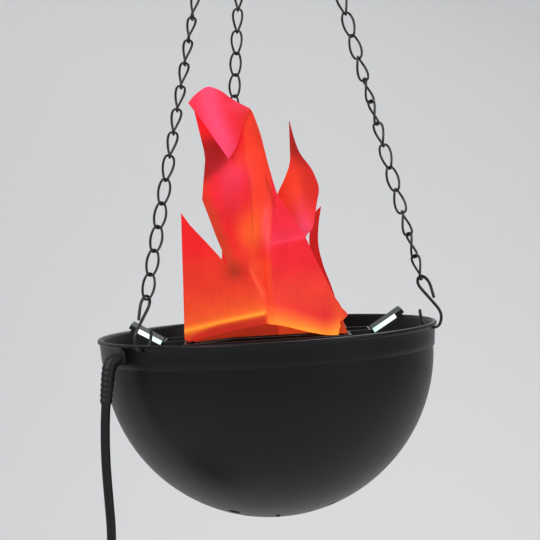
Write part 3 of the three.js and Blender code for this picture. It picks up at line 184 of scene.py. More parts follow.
def build(name, points, faces, smooth=True, uv=None, masks=None, at_lamp=True):
    """An object from points in millimetres and a list of face arrays, with UVs and masks given for each
    point. Smooth shading stops at edges of more than 50 degrees."""
    points = np.asarray(points, float) + (RIM if at_lamp else 0)
    corners = np.concatenate([group.ravel() for group in faces])
    sizes = np.concatenate([np.full(len(group), group.shape[1]) for group in faces])
    mesh = bpy.data.meshes.new(name)
    mesh.vertices.add(len(points))
    mesh.vertices.foreach_set("co", (points * MM).astype(np.float32).ravel())
    mesh.loops.add(len(corners))
    mesh.loops.foreach_set("vertex_index", corners.astype(np.int32))
    mesh.polygons.add(len(sizes))
    mesh.polygons.foreach_set("loop_start", np.concatenate([[0], np.cumsum(sizes)[:-1]]).astype(np.int32))
    mesh.update(calc_edges=True)
    mesh.polygons.foreach_set("use_smooth", np.full(len(sizes), smooth))
    if uv is not None:
        layer = mesh.uv_layers.new(name="lay")
        layer.data.foreach_set("uv", np.asarray(uv, np.float32)[corners].ravel())
    for key, values in (masks or {}).items():
        mesh.attributes.new(key, "FLOAT", "POINT").data.foreach_set("value", np.asarray(values, np.float32))
    mesh.validate()
    if smooth:
        mesh.set_sharp_from_angle(angle=math.radians(50))
    piece = bpy.data.objects.new(name, mesh)
    SCENE.collection.objects.link(piece)
    return piece


def merged(parts):
    """Several (points, faces) pairs as one pair."""
    starts = np.cumsum([0] + [len(points) for points, _ in parts])
    faces = [group + start for (_, groups), start in zip(parts, starts) for group in groups]
    return np.vstack([points for points, _ in parts]), faces


def tube(path, radius, sides, side_of, closed=False):
    """Points at path + r (cos a n + sin a b) round a line, where b is square to the line and to side_of,
    with each open end closed by a fan round its own middle. Radius is one number or one for each point."""
    path = np.asarray(path, float)
    along = np.roll(path, -1, 0) - np.roll(path, 1, 0) if closed else np.gradient(path, axis=0)
    along /= np.linalg.norm(along, axis=1)[:, None]
    side_of = np.broadcast_to(np.asarray(side_of, float), path.shape)
    n = side_of - along * np.sum(side_of * along, 1)[:, None]
    n /= np.linalg.norm(n, axis=1)[:, None]
    b = np.cross(along, n)
    a = circle(sides)[None, :, None]
    r = np.broadcast_to(np.asarray(radius, float), (len(path),))[:, None, None]
    points = (path[:, None] + r * (np.cos(a) * n[:, None] + np.sin(a) * b[:, None])).reshape(-1, 3)
    faces = cells(len(path), sides, close_rows=closed, close_columns=True)
    if closed:
        return points, [faces]
    points = np.vstack([points, path[:1], path[-1:]])
    last = (len(path) - 1) * sides
    return points, [faces, fan(0, sides, len(points) - 2, forward=False), fan(last, sides, len(points) - 1)]


def round_ended(line, radius, soft):
    """Radius along a wire with rounded ends: r sqrt(1 - (1 - d / s)^2) at d from an end, where s is soft."""
    step = np.linalg.norm(line[1] - line[0])
    from_end = np.minimum(np.arange(len(line)), np.arange(len(line))[::-1]) * step
    return radius * np.sqrt(np.clip(1 - (1 - np.minimum(from_end / soft, 1)) ** 2, 0.05, 1))


def turned(profile, sides, centre=(0, 0)):
    """A profile of radius and height turned round an upright axis. Ends on the axis are closed by fans."""
    profile = np.asarray(profile, float)
    closed = profile[0, 0] == 0 and profile[-1, 0] == 0
    body = profile[1:-1] if closed else profile
    points = around(body[:, None, 0], circle(sides), body[:, None, 1]) + (*centre, 0)
    faces = [cells(len(body), sides, close_columns=True)]
    if closed:
        points = np.vstack([points, [[*centre, profile[0, 1]], [*centre, profile[-1, 1]]]])
        last = (len(body) - 1) * sides
        faces += [fan(0, sides, len(points) - 2, forward=False), fan(last, sides, len(points) - 1)]
    return points, faces


def block(low, high, turn=0.0):
    """A box as six faces, turned about the upright axis."""
    xs, ys, zs = zip(low, high)
    grid = np.array([[x, y, z] for z in zs for y in ys for x in xs], float)
    sides = [[0, 2, 3, 1], [4, 5, 7, 6], [0, 1, 5, 4], [2, 6, 7, 3], [0, 4, 6, 2], [1, 3, 7, 5]]
    return grid @ spin(math.radians(turn)), [np.array(sides)]


# Node trees


def put(tree, socket, value):
    """A number, colour or vector goes on the socket itself, and another node's output is linked to it."""
    if isinstance(value, bpy.types.NodeSocket):
        tree.links.new(value, socket)
    elif socket.type == "RGBA":
        socket.default_value = (*value, 1)
    else:
        socket.default_value = value


def add(tree, kind, inputs=None, **settings):
    """A node with its settings and inputs."""
    node = tree.nodes.new(f"ShaderNode{kind}")
    for key, value in settings.items():
        setattr(node, key, value)
    for key, value in (inputs or {}).items():
        put(tree, node.inputs[key], value)
    return node


def maths(tree, operation, first, second=None, clamp=False):
    """One Math node's result; each input is a number or a socket."""
    inputs = {0: first} if second is None else {0: first, 1: second}
    return add(tree, "Math", inputs, operation=operation, use_clamp=clamp).outputs[0]


def between_colours(tree, factor, first, second):
    """Two colours mixed by a factor; each is a colour or a socket."""
    return add(tree, "Mix", {0: factor, 6: first, 7: second}, data_type="RGBA").outputs[2]


def stretched(tree, vector, stretch):
    """A vector with each axis multiplied by its own number."""
    return add(tree, "VectorMath", {0: vector, 1: stretch}, operation="MULTIPLY").outputs[0]


def scaled(tree, colour, share):
    """A colour made lighter or darker as a whole."""
    return add(tree, "VectorMath", {0: colour, "Scale": share}, operation="SCALE").outputs[0]


def noise(tree, vector, scale, detail=2.0, rough=0.5):
    """Value of a noise pattern."""
    inputs = {"Vector": vector, "Scale": scale, "Detail": detail, "Roughness": rough}
    return add(tree, "TexNoise", inputs).outputs["Fac"]


def object_place(tree):
    """The point's place in the piece's own frame, in metres."""
    return add(tree, "TexCoord").outputs["Object"]


def lay_of(tree):
    """The piece's own UVs, which are millimetres on cloth, and turns and millimetres on the lead."""
    return add(tree, "UVMap", uv_map="lay").outputs[0]


def axes(tree, vector):
    """X, Y and Z of a vector."""
    return add(tree, "SeparateXYZ", {0: vector}).outputs


def surface_axes(tree):
    """X, Y and Z of the surface's normal."""
    return axes(tree, add(tree, "NewGeometry").outputs["Normal"])


def new_group(name, inputs, outputs):
    """An empty shader group; inputs are (name, kind, start value) and outputs are names of values."""
    group = bpy.data.node_groups.new(name, "ShaderNodeTree")
    for label, kind, start in inputs:
        socket = group.interface.new_socket(name=label, in_out="INPUT", socket_type=f"NodeSocket{kind}")
        socket.default_value = start
    for label in outputs:
        group.interface.new_socket(name=label, in_out="OUTPUT", socket_type="NodeSocketFloat")
    return group, group.nodes.new("NodeGroupInput").outputs, group.nodes.new("NodeGroupOutput").inputs


# Surface effects that several finishes share

MOULD_GRAIN = 2600.0


@cache
def moulding_grain():
    """Moulded surface: fine spark-eroded grain over slow waves of gloss, and faint dust where it lies
    flat."""
    inputs = [("Grain", "Float", MOULD_GRAIN), ("Gloss Swing", "Float", 0.06)]
    group, given, result = new_group("moulding_grain", inputs, ("Height", "Gloss", "Dust"))
    place = object_place(group)
    slow = maths(group, "SUBTRACT", noise(group, place, 24.0, 4.0, 0.55), 0.5)
    specks = maths(group, "POWER", noise(group, place, 420.0, 5.0, 0.7), 3.0)
    flat = maths(group, "MAXIMUM", surface_axes(group)["Z"], 0.0)
    put(group, result["Height"], noise(group, place, given["Grain"], 3.0, 0.6))
    put(group, result["Gloss"], maths(group, "MULTIPLY", slow, given["Gloss Swing"]))
    put(group, result["Dust"], maths(group, "MULTIPLY", specks, flat))
    return group


@cache
def drawn_metal():
    """Drawn or rolled metal: grain stretched along one axis, with darker handling marks."""
    inputs = [("Stretch", "Vector", (1.0, 1.0, 0.06)), ("Grain", "Float", 2200.0)]
    group, given, result = new_group("drawn_metal", inputs, ("Height", "Gloss", "Stain"))
    place = object_place(group)
    lines = noise(group, stretched(group, place, given["Stretch"]), given["Grain"], 3.0)
    marks = noise(group, place, 90.0, 4.0, 0.6)
    stain = maths(group, "MULTIPLY", maths(group, "SUBTRACT", marks, 0.45), 2.5, clamp=True)
    put(group, result["Height"], lines)
    put(group, result["Gloss"], maths(group, "MULTIPLY", maths(group, "SUBTRACT", marks, 0.5), 0.35))
    put(group, result["Stain"], stain)
    return group


@cache
def silk_weave():
    """Plain weave from the piece's UVs in millimetres: warp and weft waves, thread thickness changing from
    one to the next, and slow cloudiness where the cloth lets more light through."""
    inputs = [("Threads", "Float", 2.2), ("Cloud", "Float", 0.06)]
    group, given, result = new_group("silk_weave", inputs, ("Height", "Thread", "Cloud"))
    lay = lay_of(group)
    turn = maths(group, "MULTIPLY", given["Threads"], 2 * math.pi)
    warp, weft = (maths(group, "SINE", maths(group, "MULTIPLY", axes(group, lay)[k], turn)) for k in (0, 1))
    uneven = [noise(group, stretched(group, lay, stretch), 1.0, 3.0, 0.7)
              for stretch in ((1.4, 0.03, 1.0), (0.03, 1.4, 1.0))]
    swing = maths(group, "SUBTRACT", maths(group, "ADD", *uneven), 1.0)
    put(group, result["Height"], maths(group, "MULTIPLY", warp, weft))
    put(group, result["Thread"], maths(group, "MULTIPLY", swing, 0.22))
    put(group, result["Cloud"], noise(group, lay, given["Cloud"], 3.0, 0.55))
    return group


# Finishes


def material(name, base, rough, metallic=0.0, **constants):
    """A fresh material; returns it, its tree and its shader, with each constant on the shader's own
    socket."""
    made = bpy.data.materials.new(name)
    made.use_nodes = True
    shader = made.node_tree.nodes["Principled BSDF"]
    values = {"Base Color": (*base, 1), "Roughness": rough, "Metallic": metallic}
    for label, value in constants.items():
        values[label.replace("_", " ").title().replace("Ior", "IOR")] = value
    for label, value in values.items():
        shader.inputs[label].default_value = value
    return made, made.node_tree, shader


def bump(tree, shader, height, depth, distance=0.0002):
    """Bumps that follow a height; depth is their strength and distance is in metres."""
    node = add(tree, "Bump", {"Strength": depth, "Distance": distance, "Height": height})
    put(tree, shader.inputs["Normal"], node.outputs[0])


def lay_on(tree, shader, skin, colour, rough, deep):
    """Puts an effect's height, its gloss and the colour made from it on a shader."""
    put(tree, shader.inputs["Base Color"], colour)
    put(tree, shader.inputs["Roughness"], maths(tree, "ADD", skin.outputs["Gloss"], rough, clamp=True))
    bump(tree, shader, skin.outputs["Height"], deep)


def moulded(name, base, rough, grain=1.0, dusty=0.25, deep=0.25, specular=0.3):
    """Moulded plastic with grain, slow changes of gloss and a little pale dust on what faces up."""
    made, tree, shader = material(name, base, rough, specular_ior_level=specular)
    skin = add(tree, "Group", {"Grain": MOULD_GRAIN / grain}, node_tree=moulding_grain())
    dust = maths(tree, "MULTIPLY", skin.outputs["Dust"], dusty, clamp=True)
    lay_on(tree, shader, skin, between_colours(tree, dust, base, (0.2, 0.19, 0.18)), rough, deep)
    return made


def metal(name, base, rough, stain=(0.12, 0.1, 0.08), stretch=(1.0, 1.0, 0.06), metallic=1.0, stained=0.35):
    """Drawn metal whose grain runs along one axis, with darker marks."""
    made, tree, shader = material(name, base, rough, metallic)
    skin = add(tree, "Group", {"Stretch": stretch}, node_tree=drawn_metal())
    marks = maths(tree, "MULTIPLY", skin.outputs["Stain"], stained)
    lay_on(tree, shader, skin, between_colours(tree, marks, base, stain), rough, 0.2)
    return made


def lead_sheath(name):
    """Smooth black sheath with faint rings from the extruder, along its own length."""
    made, tree, shader = material(name, (0.006, 0.006, 0.007), 0.45, specular_ior_level=0.3)
    rings = noise(tree, stretched(tree, lay_of(tree), (2.0, 0.35, 1.0)), 3.0, 4.0, 0.65)
    put(tree, shader.inputs["Roughness"], maths(tree, "ADD", maths(tree, "MULTIPLY", rings, 0.22), 0.32))
    bump(tree, shader, rings, 0.25)
    return made


def silk(name):
    """Dyed silk lit from below. Masks on the mesh say where the light comes through orange, pink or dark;
    the weave changes each thread a little, and the same colour is given off as a weak glow."""
    made, tree, shader = material(name, (0.5, 0.01, 0.01), 0.8, sheen_weight=0.04, sheen_roughness=0.5,
                                  specular_ior_level=0.2, emission_strength=1.0)
    glow, bloom, shade = (add(tree, "Attribute", attribute_name=key).outputs["Fac"] for key in MASKS)
    cloth = add(tree, "Group", node_tree=silk_weave())
    colour = between_colours(tree, bloom, (0.86, 0.012, 0.016), (1.0, 0.07, 0.17))
    colour = between_colours(tree, glow, colour, (1.0, 0.3, 0.025))
    colour = between_colours(tree, shade, colour, (0.16, 0.006, 0.005))
    thread = maths(tree, "ADD", cloth.outputs["Thread"], 1.0)
    cloud = maths(tree, "ADD", maths(tree, "MULTIPLY", cloth.outputs["Cloud"], 0.3), 0.85)
    tinted = scaled(tree, colour, maths(tree, "MULTIPLY", thread, cloud))
    given_off = maths(tree, "ADD", maths(tree, "MULTIPLY", glow, 0.45), 0.5)
    put(tree, shader.inputs["Base Color"], scaled(tree, tinted, 0.55))
    put(tree, shader.inputs["Emission Color"], scaled(tree, tinted, given_off))
    bump(tree, shader, cloth.outputs["Height"], 0.3, 0.00012)
    return made


GLASS_LIT_REACH = 0.0885
GLASS_FRINGE_REACH = 0.084


def lit_glass(name):
    """Clear plate whose cut edges give off the light that runs inside it: white, with a blue-green
    fringe near its foot. Its broad faces stay dim, and its outer end is dark where the bracket holds it."""
    made, tree, shader = material(name, (0.008, 0.012, 0.01), 0.4, emission_strength=1.3,
                                  specular_ior_level=0.06)
    place = object_place(tree)
    edge = maths(tree, "GREATER_THAN", maths(tree, "ABSOLUTE", surface_axes(tree)["Y"]), 0.7)
    reach = maths(tree, "ABSOLUTE", maths(tree, "ADD", axes(tree, place)["X"], -float(RIM[0]) * MM))
    held = maths(tree, "MULTIPLY", maths(tree, "SUBTRACT", GLASS_LIT_REACH, reach), 500.0, clamp=True)
    foot = maths(tree, "MULTIPLY", maths(tree, "SUBTRACT", GLASS_FRINGE_REACH, reach), 60.0, clamp=True)
    streak = maths(tree, "MULTIPLY", noise(tree, place, 240.0), 1.3)
    fringe = maths(tree, "MULTIPLY", foot, streak, clamp=True)
    bright = between_colours(tree, fringe, (0.95, 1.0, 0.97), (0.3, 0.82, 0.68))
    glow = between_colours(tree, maths(tree, "MULTIPLY", edge, held), (0.004, 0.009, 0.007), bright)
    put(tree, shader.inputs["Emission Color"], glow)
    return made


def lit_lens(name):
    """Moulded clear lens, lit a little unevenly in amber."""
    made, tree, shader = material(name, (1.0, 0.6, 0.25), 0.2, emission_strength=0.9, coat_weight=0.4)
    clear = noise(tree, object_place(tree), 180.0)
    amber = between_colours(tree, clear, (1.0, 0.28, 0.05), (1.0, 0.62, 0.25))
    put(tree, shader.inputs["Emission Color"], amber)
    return made


LIT_ABOVE = -14.9


def wall_light(name):
    """Cool white domes on a dark board: only what stands above the board's face is lit."""
    made, tree, shader = material(name, (0.05, 0.06, 0.05), 0.35, emission_strength=0.9)
    place = object_place(tree)
    over = maths(tree, "SUBTRACT", axes(tree, place)["Z"], float(RIM[2] + LIT_ABOVE) * MM)
    white = between_colours(tree, noise(tree, place, 300.0), (0.62, 0.95, 0.85), (0.95, 1.0, 0.97))
    glow = between_colours(tree, maths(tree, "MULTIPLY", over, 4000.0, clamp=True), (0, 0, 0), white)
    put(tree, shader.inputs["Emission Color"], glow)
    return made


def patterned(name, base, rough, metallic, pattern, low, high, deep, distance=0.0002, **constants):
    """A finish whose colour and height follow one pattern; pattern is a node's kind, inputs, settings and
    output."""
    made, tree, shader = material(name, base, rough, metallic, **constants)
    kind, inputs, settings, output = pattern
    drawn = add(tree, kind, {"Vector": object_place(tree), **inputs}, **settings).outputs[output]
    put(tree, shader.inputs["Base Color"], between_colours(tree, drawn, low, high))
    bump(tree, shader, drawn, deep, distance)
    return made


def board(name):
    """Lacquered board: green mask over slightly raised copper tracks."""
    tracks = {"Scale": 240.0, "Mortar Size": 0.06, "Color1": (0, 0, 0), "Color2": (0.1, 0.1, 0.1),
              "Mortar": (1, 1, 1)}
    return patterned(name, (0.015, 0.1, 0.035), 0.3, 0.0, ("TexBrick", tracks, {}, "Color"),
                     (0.012, 0.085, 0.03), (0.03, 0.17, 0.06), 0.2, 0.0001, coat_weight=0.3)


def winding(name):
    """Enamelled copper wire laid in turns."""
    turns = {"Scale": 420.0, "Distortion": 1.2, "Detail": 2.0}
    level = {"wave_type": "BANDS", "bands_direction": "Z"}
    return patterned(name, (0.55, 0.2, 0.08), 0.35, 0.85, ("TexWave", turns, level, "Fac"),
                     (0.3, 0.09, 0.03), (0.68, 0.27, 0.1), 0.5)


def laminations(name):
    """Stacked core sheets, seen as fine lines across X, varnished dark at the edges."""
    sheets = {"Scale": 320.0, "Distortion": 0.3}
    across = {"wave_type": "BANDS", "bands_direction": "X"}
    return patterned(name, (0.2, 0.2, 0.21), 0.45, 0.8, ("TexWave", sheets, across, "Fac"),
                     (0.08, 0.08, 0.085), (0.34, 0.34, 0.36), 0.4)


MOULDED = {
    "bowl_plastic": {"base": (0.0035, 0.0035, 0.0045), "rough": 0.4, "grain": 1.3, "dusty": 0.03, "deep": 0.1,
                     "specular": 0.22},
    "relief_plastic": {"base": (0.007, 0.007, 0.008), "rough": 0.5, "grain": 1.4, "dusty": 0.08},
    "frame_plastic": {"base": (0.006, 0.006, 0.007), "rough": 0.5, "dusty": 0.1},
    "fan_plastic": {"base": (0.012, 0.012, 0.013), "rough": 0.42, "grain": 0.8, "dusty": 0.2},
    "grey_plastic": {"base": (0.06, 0.062, 0.066), "rough": 0.5, "dusty": 0.3},
    "inner_lead": {"base": (0.012, 0.012, 0.013), "rough": 0.45, "grain": 2.0, "dusty": 0.1}}
METALS = {
    "black_wire": {"base": (0.006, 0.006, 0.007), "rough": 0.38, "stain": (0.03, 0.027, 0.024),
                   "stretch": (1.0, 1.0, 0.3), "metallic": 0.1, "stained": 0.4},
    "sheet_steel": {"base": (0.55, 0.56, 0.58), "rough": 0.35, "stretch": (0.08, 1.0, 1.0)},
    "bright_steel": {"base": (0.6, 0.61, 0.63), "rough": 0.28},
    "pin_brass": {"base": (0.65, 0.46, 0.17), "rough": 0.24, "stain": (0.25, 0.14, 0.05)}}
SPECIAL = {"lead_sheath": lead_sheath, "silk": silk, "lit_glass": lit_glass, "lit_lens": lit_lens,
           "wall_light": wall_light, "board": board, "winding": winding, "laminations": laminations}


@cache
def finish(name):
    """The material of that name, made when it is first asked for."""
    if name in MOULDED:
        return moulded(name, **MOULDED[name])
    if name in METALS:
        return metal(name, **METALS[name])
    return SPECIAL[name](name)


def coat(piece, name):
    """Gives a piece one finish, in place of any that it has."""
    piece.data.materials.clear()
    piece.data.materials.append(finish(name))


def dress(piece, finish_name, slot, body, *nodes):
    """Gives a piece its finish, its body and the nodes that it stands for; the slot is not used."""
    coat(piece, finish_name)
    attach(piece, body)
    if nodes:
        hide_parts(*nodes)


# Mains lead: down from the elbow, then a tied coil below the picture

CORD_DIAMETER = 6.0
CORD_SIDES = 16
CORD_STATIONS = 620
CORD_ROUTE = [(-105.4, -73.7, -37), (-105.45, -73.75, -37.3), (-106, -74, -42.8), (-106.7, -74.2, -51),
              (-107.2, -74.4, -60), (-107.5, -74.5, -68.5), (-107.6, -74.5, -77), (-107.5, -74.5, -86),
              (-107.3, -74.5, -94.4), (-107.1, -74.5, -103), (-106.9, -74.5, -111.6), (-107, -74.5, -120),
              (-107.6, -74.5, -129), (-109.2, -74.5, -138), (-112, -74.5, -146.5)]
COIL = {"centre": (-92, -74.5, -184), "turns": 6, "layers": 4, "pitch": 6.6, "radius": 33, "start": 135,
        "steps": 24}
COIL_LEAD_IN = 6.3
COIL_LEAD_OUT = 6.2


def coil_line():
    """Loops whose radius swings in and out by one pitch a turn, and that step to the next layer at each
    reversal."""
    per_layer = COIL["turns"] / COIL["layers"]
    swing = per_layer * COIL["pitch"] / 2
    turns = np.arange(COIL["turns"] * COIL["steps"] + 1) / COIL["steps"]
    leg = turns / per_layer
    within = leg % 2
    share = np.where(within < 1, within, 2 - within)
    radius = COIL["radius"] + swing - 2 * swing * share
    near = np.floor(leg + 0.5)
    climb = (turns - near * per_layer) * 2 + 0.5
    stepping = (near > 0) & (near < COIL["layers"]) & (climb >= 0) & (climb <= 1)
    layer = np.where(stepping, near - 1 + climb, np.minimum(np.floor(leg), COIL["layers"] - 1))
    angle = math.radians(COIL["start"]) + 2 * np.pi * turns
    x, y, z = COIL["centre"]
    return np.stack([x + radius * np.cos(angle), y + layer * COIL["pitch"], z + radius * np.sin(angle)], 1)


def mains_lead():
    """One tube along the route and the coil, ending in the plug."""
    loops = coil_line()
    before = loops[0] - unit(loops[1] - loops[0]) * COIL_LEAD_IN
    after = loops[-1] + unit(loops[-1] - loops[-2]) * COIL_LEAD_OUT
    line = np.vstack([flow([*CORD_ROUTE, before, loops[0]], 80)[:-1], loops, after])
    line = flow(np.vstack([line[:-1:2], line[-1:]]), CORD_STATIONS)
    points, faces = tube(line, CORD_DIAMETER / 2, CORD_SIDES, (0, 1, 0))
    run = run_along(line)
    lay = np.stack(np.meshgrid(np.arange(CORD_SIDES) / CORD_SIDES, run), -1).reshape(-1, 2)
    lead = build("lead", points, faces, uv=np.vstack([lay, [[0.5, run[0]], [0.5, run[-1]]]]))
    dress(lead, "lead_sheath", "lead", "lamp", "mains_cord", "cord_coil")


RELIEF_AZIMUTH = -145
RELIEF_HEIGHT = -8.0
RELIEF_BEND = [(-97, -67.9, -8.4), (-99.6, -69.7, -9.8), (-101.5, -71, -12.6), (-102.6, -71.8, -16.4),
               (-103.6, -72.6, -22.5), (-104.6, -73.2, -30), CORD_ROUTE[0]]
RELIEF_START = 113.6
RELIEF_ROOT_RADIUS = 5.0
RELIEF_TAPER = 1.3
RELIEF_RIBS = 11
RELIEF_RIB_HEIGHT = 0.32
COLLAR_STEPS = [(0, 0), (5.3, 0), (5.6, 0.3), (5.6, 1.7), (5.2, 2.1), (0, 2.1)]
COLLARS_AT = (114.3, 108.4)
NECK_AT = (108.6, 112, 116)
NECK_RADIUS = 4.2


def elbow_relief():
    """The moulded elbow: a tapered tube along the bend, ribbed by rings, with a stepped collar on each side
    of the bowl's band and a neck through it."""
    out = polar(1, RELIEF_AZIMUTH)
    level = (0, 0, RELIEF_HEIGHT)
    route = flow([out * RELIEF_START + level, *RELIEF_BEND], 150)
    share = np.linspace(0, 1, len(route))
    wave = np.clip(np.sin(share * 2 * np.pi * RELIEF_RIBS), -0.5, 0.5) * np.clip((share - 0.25) * 6, 0, 1)
    mouth = 0.5 * np.clip((share - 0.97) / 0.03, 0, 1)
    radius = RELIEF_ROOT_RADIUS - RELIEF_TAPER * share + RELIEF_RIB_HEIGHT * wave - mouth
    sleeve = tube(route, radius, 24, polar(1, RELIEF_AZIMUTH + 90))
    ring, ring_faces = turned(crisp(COLLAR_STEPS, 0.12), 28)
    collars = [(ring @ facing(out) + out * r + level, ring_faces) for r in COLLARS_AT]
    neck = tube([out * r + level for r in NECK_AT], NECK_RADIUS, 20, (0, 0, 1))
    relief = build("elbow_relief", *merged([sleeve, neck, *collars]))
    dress(relief, "relief_plastic", "black_plastic", "lamp", "cord_relief")


# Hook, ring, chains and chain hooks

HOOK_UPPER = {"radius": 10, "height": -8.25, "from": -30, "to": 180}
HOOK_LOWER = {"radius": 7, "height": -35.05, "from": 0, "to": -215}
HOOK_WIRE_RADIUS = 1.75
RING_RADIUS = 12.5
RING_HEIGHT = -51.2
RING_WIRE_RADIUS = 1.3
RING_WELD_SWELL = 0.2


def hanging_hook():
    """Two arcs joined by a straight middle, as a round wire with rounded ends, in the plane across X."""
    arcs = []
    for arc in (HOOK_UPPER, HOOK_LOWER):
        radius, a = arc["radius"], np.radians(np.linspace(arc["from"], arc["to"], 40))
        arcs.append(np.stack([0 * a, radius * np.cos(a), arc["height"] + radius * np.sin(a)], 1))
    line = flow(np.vstack(arcs)[::3], 160)
    wire = tube(line, round_ended(line, HOOK_WIRE_RADIUS, 1.4), 20, (1, 0, 0))
    dress(build("hanging_hook", *wire, at_lamp=False), "black_wire", "black_steel", "hook", "s_hook")


def hanging_ring():
    """A torus in the plane across Y, with the seam of its weld as a slight bulge at its side."""
    a = circle(96)
    line = np.stack([RING_RADIUS * np.cos(a), 0 * a, RING_HEIGHT + RING_RADIUS * np.sin(a)], 1)
    wire = RING_WIRE_RADIUS + RING_WELD_SWELL * np.exp(-(((a - np.pi) / 0.09) ** 2))
    ring = build("hanging_ring", *tube(line, wire, 20, (0, 1, 0), closed=True), at_lamp=False)
    dress(ring, "black_wire", "black_steel", "ring", "top_ring")


CHAIN = {"wire": 1.6, "width": 9.0, "count": 26, "bite": 0.88}
AZIMUTHS = {"right": -16, "back": 105, "left": 226}
SPREADS = {"right": 34, "back": 0, "left": -34}
ROLLS_AT_SHARE = {"right": [(0, -25), (0.48, -360), (1, -630)],
                  "back": [(0, 105), (0.36, 50), (0.4, 42), (0.48, 5), (1, -90)],
                  "left": [(0, 46), (0.12, 50), (0.16, 40), (0.24, 0), (0.48, -20), (1, -90)]}
MEETING_HEIGHT = 412
RING_OVER_RIM = (-RIM[0], 0, MEETING_HEIGHT + RING_RADIUS)
LINK_SEAT = 9.6
HOOK_SIZE = 34.2
HOOK_DROP = 3
HOOK_LOOP = (6.84, 2.1)
RIM_HOOK_WIRE_RADIUS = 1.0


def link_shape(half, stations=36, sides=8):
    """One link: out = w |cos t|^0.5, up = h sin t, turned about its length from a quarter turn back at its
    foot to nothing at its top, as a closed wire."""
    t = 2 * np.pi * (np.arange(stations) + 0.5) / stations
    width = (CHAIN["width"] - CHAIN["wire"]) / 2
    out = np.sign(np.cos(t)) * np.abs(np.cos(t)) ** 0.5 * width
    twist = np.pi / 4 * (np.sin(t) - 1)
    line = np.stack([out * np.cos(twist), out * np.sin(twist), half * np.sin(t)], 1)
    line = even(np.vstack([line, line[:1]]), stations + 1)[:-1]
    return tube(line, CHAIN["wire"] / 2, sides, line + 1e-6, closed=True)


def chain(side):
    """Links set end to end between the chain hook and the ring, each hooked through the next."""
    swing = math.radians(SPREADS[side])
    top = np.array(RING_OVER_RIM) + LINK_SEAT * np.array([math.sin(swing), 0, -math.cos(swing)])
    foot = polar(RIM_RADIUS - HOOK_LOOP[0], AZIMUTHS[side], HOOK_SIZE - HOOK_DROP - HOOK_LOOP[1])
    span = np.linalg.norm(top - foot)
    pitch = (span - CHAIN["bite"]) / CHAIN["count"]
    first = (pitch + CHAIN["bite"]) / 2
    points, faces = link_shape((pitch + CHAIN["wire"]) / 2 - 0.1)
    parts = []
    for k in range(CHAIN["count"]):
        roll = np.interp(k / (CHAIN["count"] - 1), *np.transpose(ROLLS_AT_SHARE[side]))
        link = points @ spin(math.radians(roll)) + (0, 0, first + k * pitch)
        parts.append((link @ facing((top - foot) / span) + foot, faces))
    dress(build(f"links_{side}", *merged(parts)), "black_wire", "black_steel", "lamp", f"chain_{side}")


HOOK_LINE = [(0.03, 0.56), (-0.04, 0.84), (-0.12, 0.96), (-0.2, 1), (-0.27, 0.94), (-0.25, 0.81),
             (-0.08, 0.59), (0.1, 0.36), (0.15, 0.22), (0.12, 0.07), (0.04, 0), (-0.1, 0), (-0.2, 0.08),
             (-0.25, 0.23), (-0.265, 0.36)]


def chain_hook(side):
    """Bent wire in an upright plane: a free leg, a loop for the chain, a long leg and a tip turned up
    inside."""
    azimuth = AZIMUTHS[side]
    route = [polar(RIM_RADIUS + out * HOOK_SIZE, azimuth, up * HOOK_SIZE - HOOK_DROP)
             for out, up in HOOK_LINE]
    line = flow(route, 180)
    wire = tube(line, round_ended(line, RIM_HOOK_WIRE_RADIUS, 0.8), 14, polar(1, azimuth + 90))
    dress(build(f"rim_hook_{side}", *wire), "black_wire", "black_steel", "lamp", f"chain_hook_{side}")


# Bowl

BOWL_SIDES = 240
POLE_FLAT = 12
VENT = {"half": 1.3, "inner": 25, "outer": 38, "corner": 0.6, "apart": 24}
WELL = {"radius": 3.9, "screw": 2.1, "boss": 5.6, "floor": -112.77, "top": -98.3, "shoulder": -98.6,
        "reach": 8.5, "rows": (39.5, 52.5)}
BOWL_ROWS = np.array([4.0, 8.0, 11.6, 12.4, 14.5, 17.5, 21, 23.5, 25, 25.15, 25.6, 27.5, 31.5, 35.5, 37.4,
                      37.85, 38, 39.5, 42, 44, 46, 48, 50, 52.5, 55, 60, 65, 70, 75, 79.5, 84, 88, 91.5, 95,
                      98, 101, 103.5, 105.5, 107])
OUTER_SHOULDER = (108.8, 110.2, 111.2, 111.75)
INNER_SHOULDER = (108.2, 109.1, 109.6)
OUTER_BAND = [(111.96, -16.5), (112.0, -16.12), (112.12, -16.0), (112.68, -16.0), (112.82, -15.88),
              (113.1, -12), (113.4, -8), (113.66, -3.3), (113.78, -3.02), (114.85, -2.35), (115.0, -2.1),
              (115.0, -0.95), (114.85, -0.6), (114.4, -0.12), (114.1, 0)]
INNER_BAND = [(109.8, -15.2), (111.4, -2.4), (111.6, -2.0), (112.6, -0.1), (112.9, 0)]
RIB_LOW, RIB_HIGH = (98, -4.5, -41.3), (107.5, 4.5, -19.3)


def sphere(radius, r):
    """Height of the half sphere's wall at distance r from its axis: c - sqrt(R^2 - r^2)."""
    return SPHERE_MIDDLE - np.sqrt(radius**2 - np.square(r))


def wall_profile(radius, shoulder, band):
    """Flat pole, sphere, the last steps of the sphere under the band, and the band with its lip."""
    dish = np.column_stack([BOWL_ROWS, sphere(radius, np.maximum(BOWL_ROWS, POLE_FLAT))])
    dish[BOWL_ROWS < POLE_FLAT, 1] = sphere(radius, POLE_FLAT)
    return np.vstack([dish, [(r, sphere(radius, r)) for r in shoulder], band])


def vent_half(r):
    """Half width of an air vent: straight sides, with a quarter round of the corner's radius at each end."""
    corner = VENT["corner"]
    short = np.clip(corner - np.minimum(r - VENT["inner"], VENT["outer"] - r), 0, corner)
    return VENT["half"] - corner + np.sqrt(corner**2 - short**2)


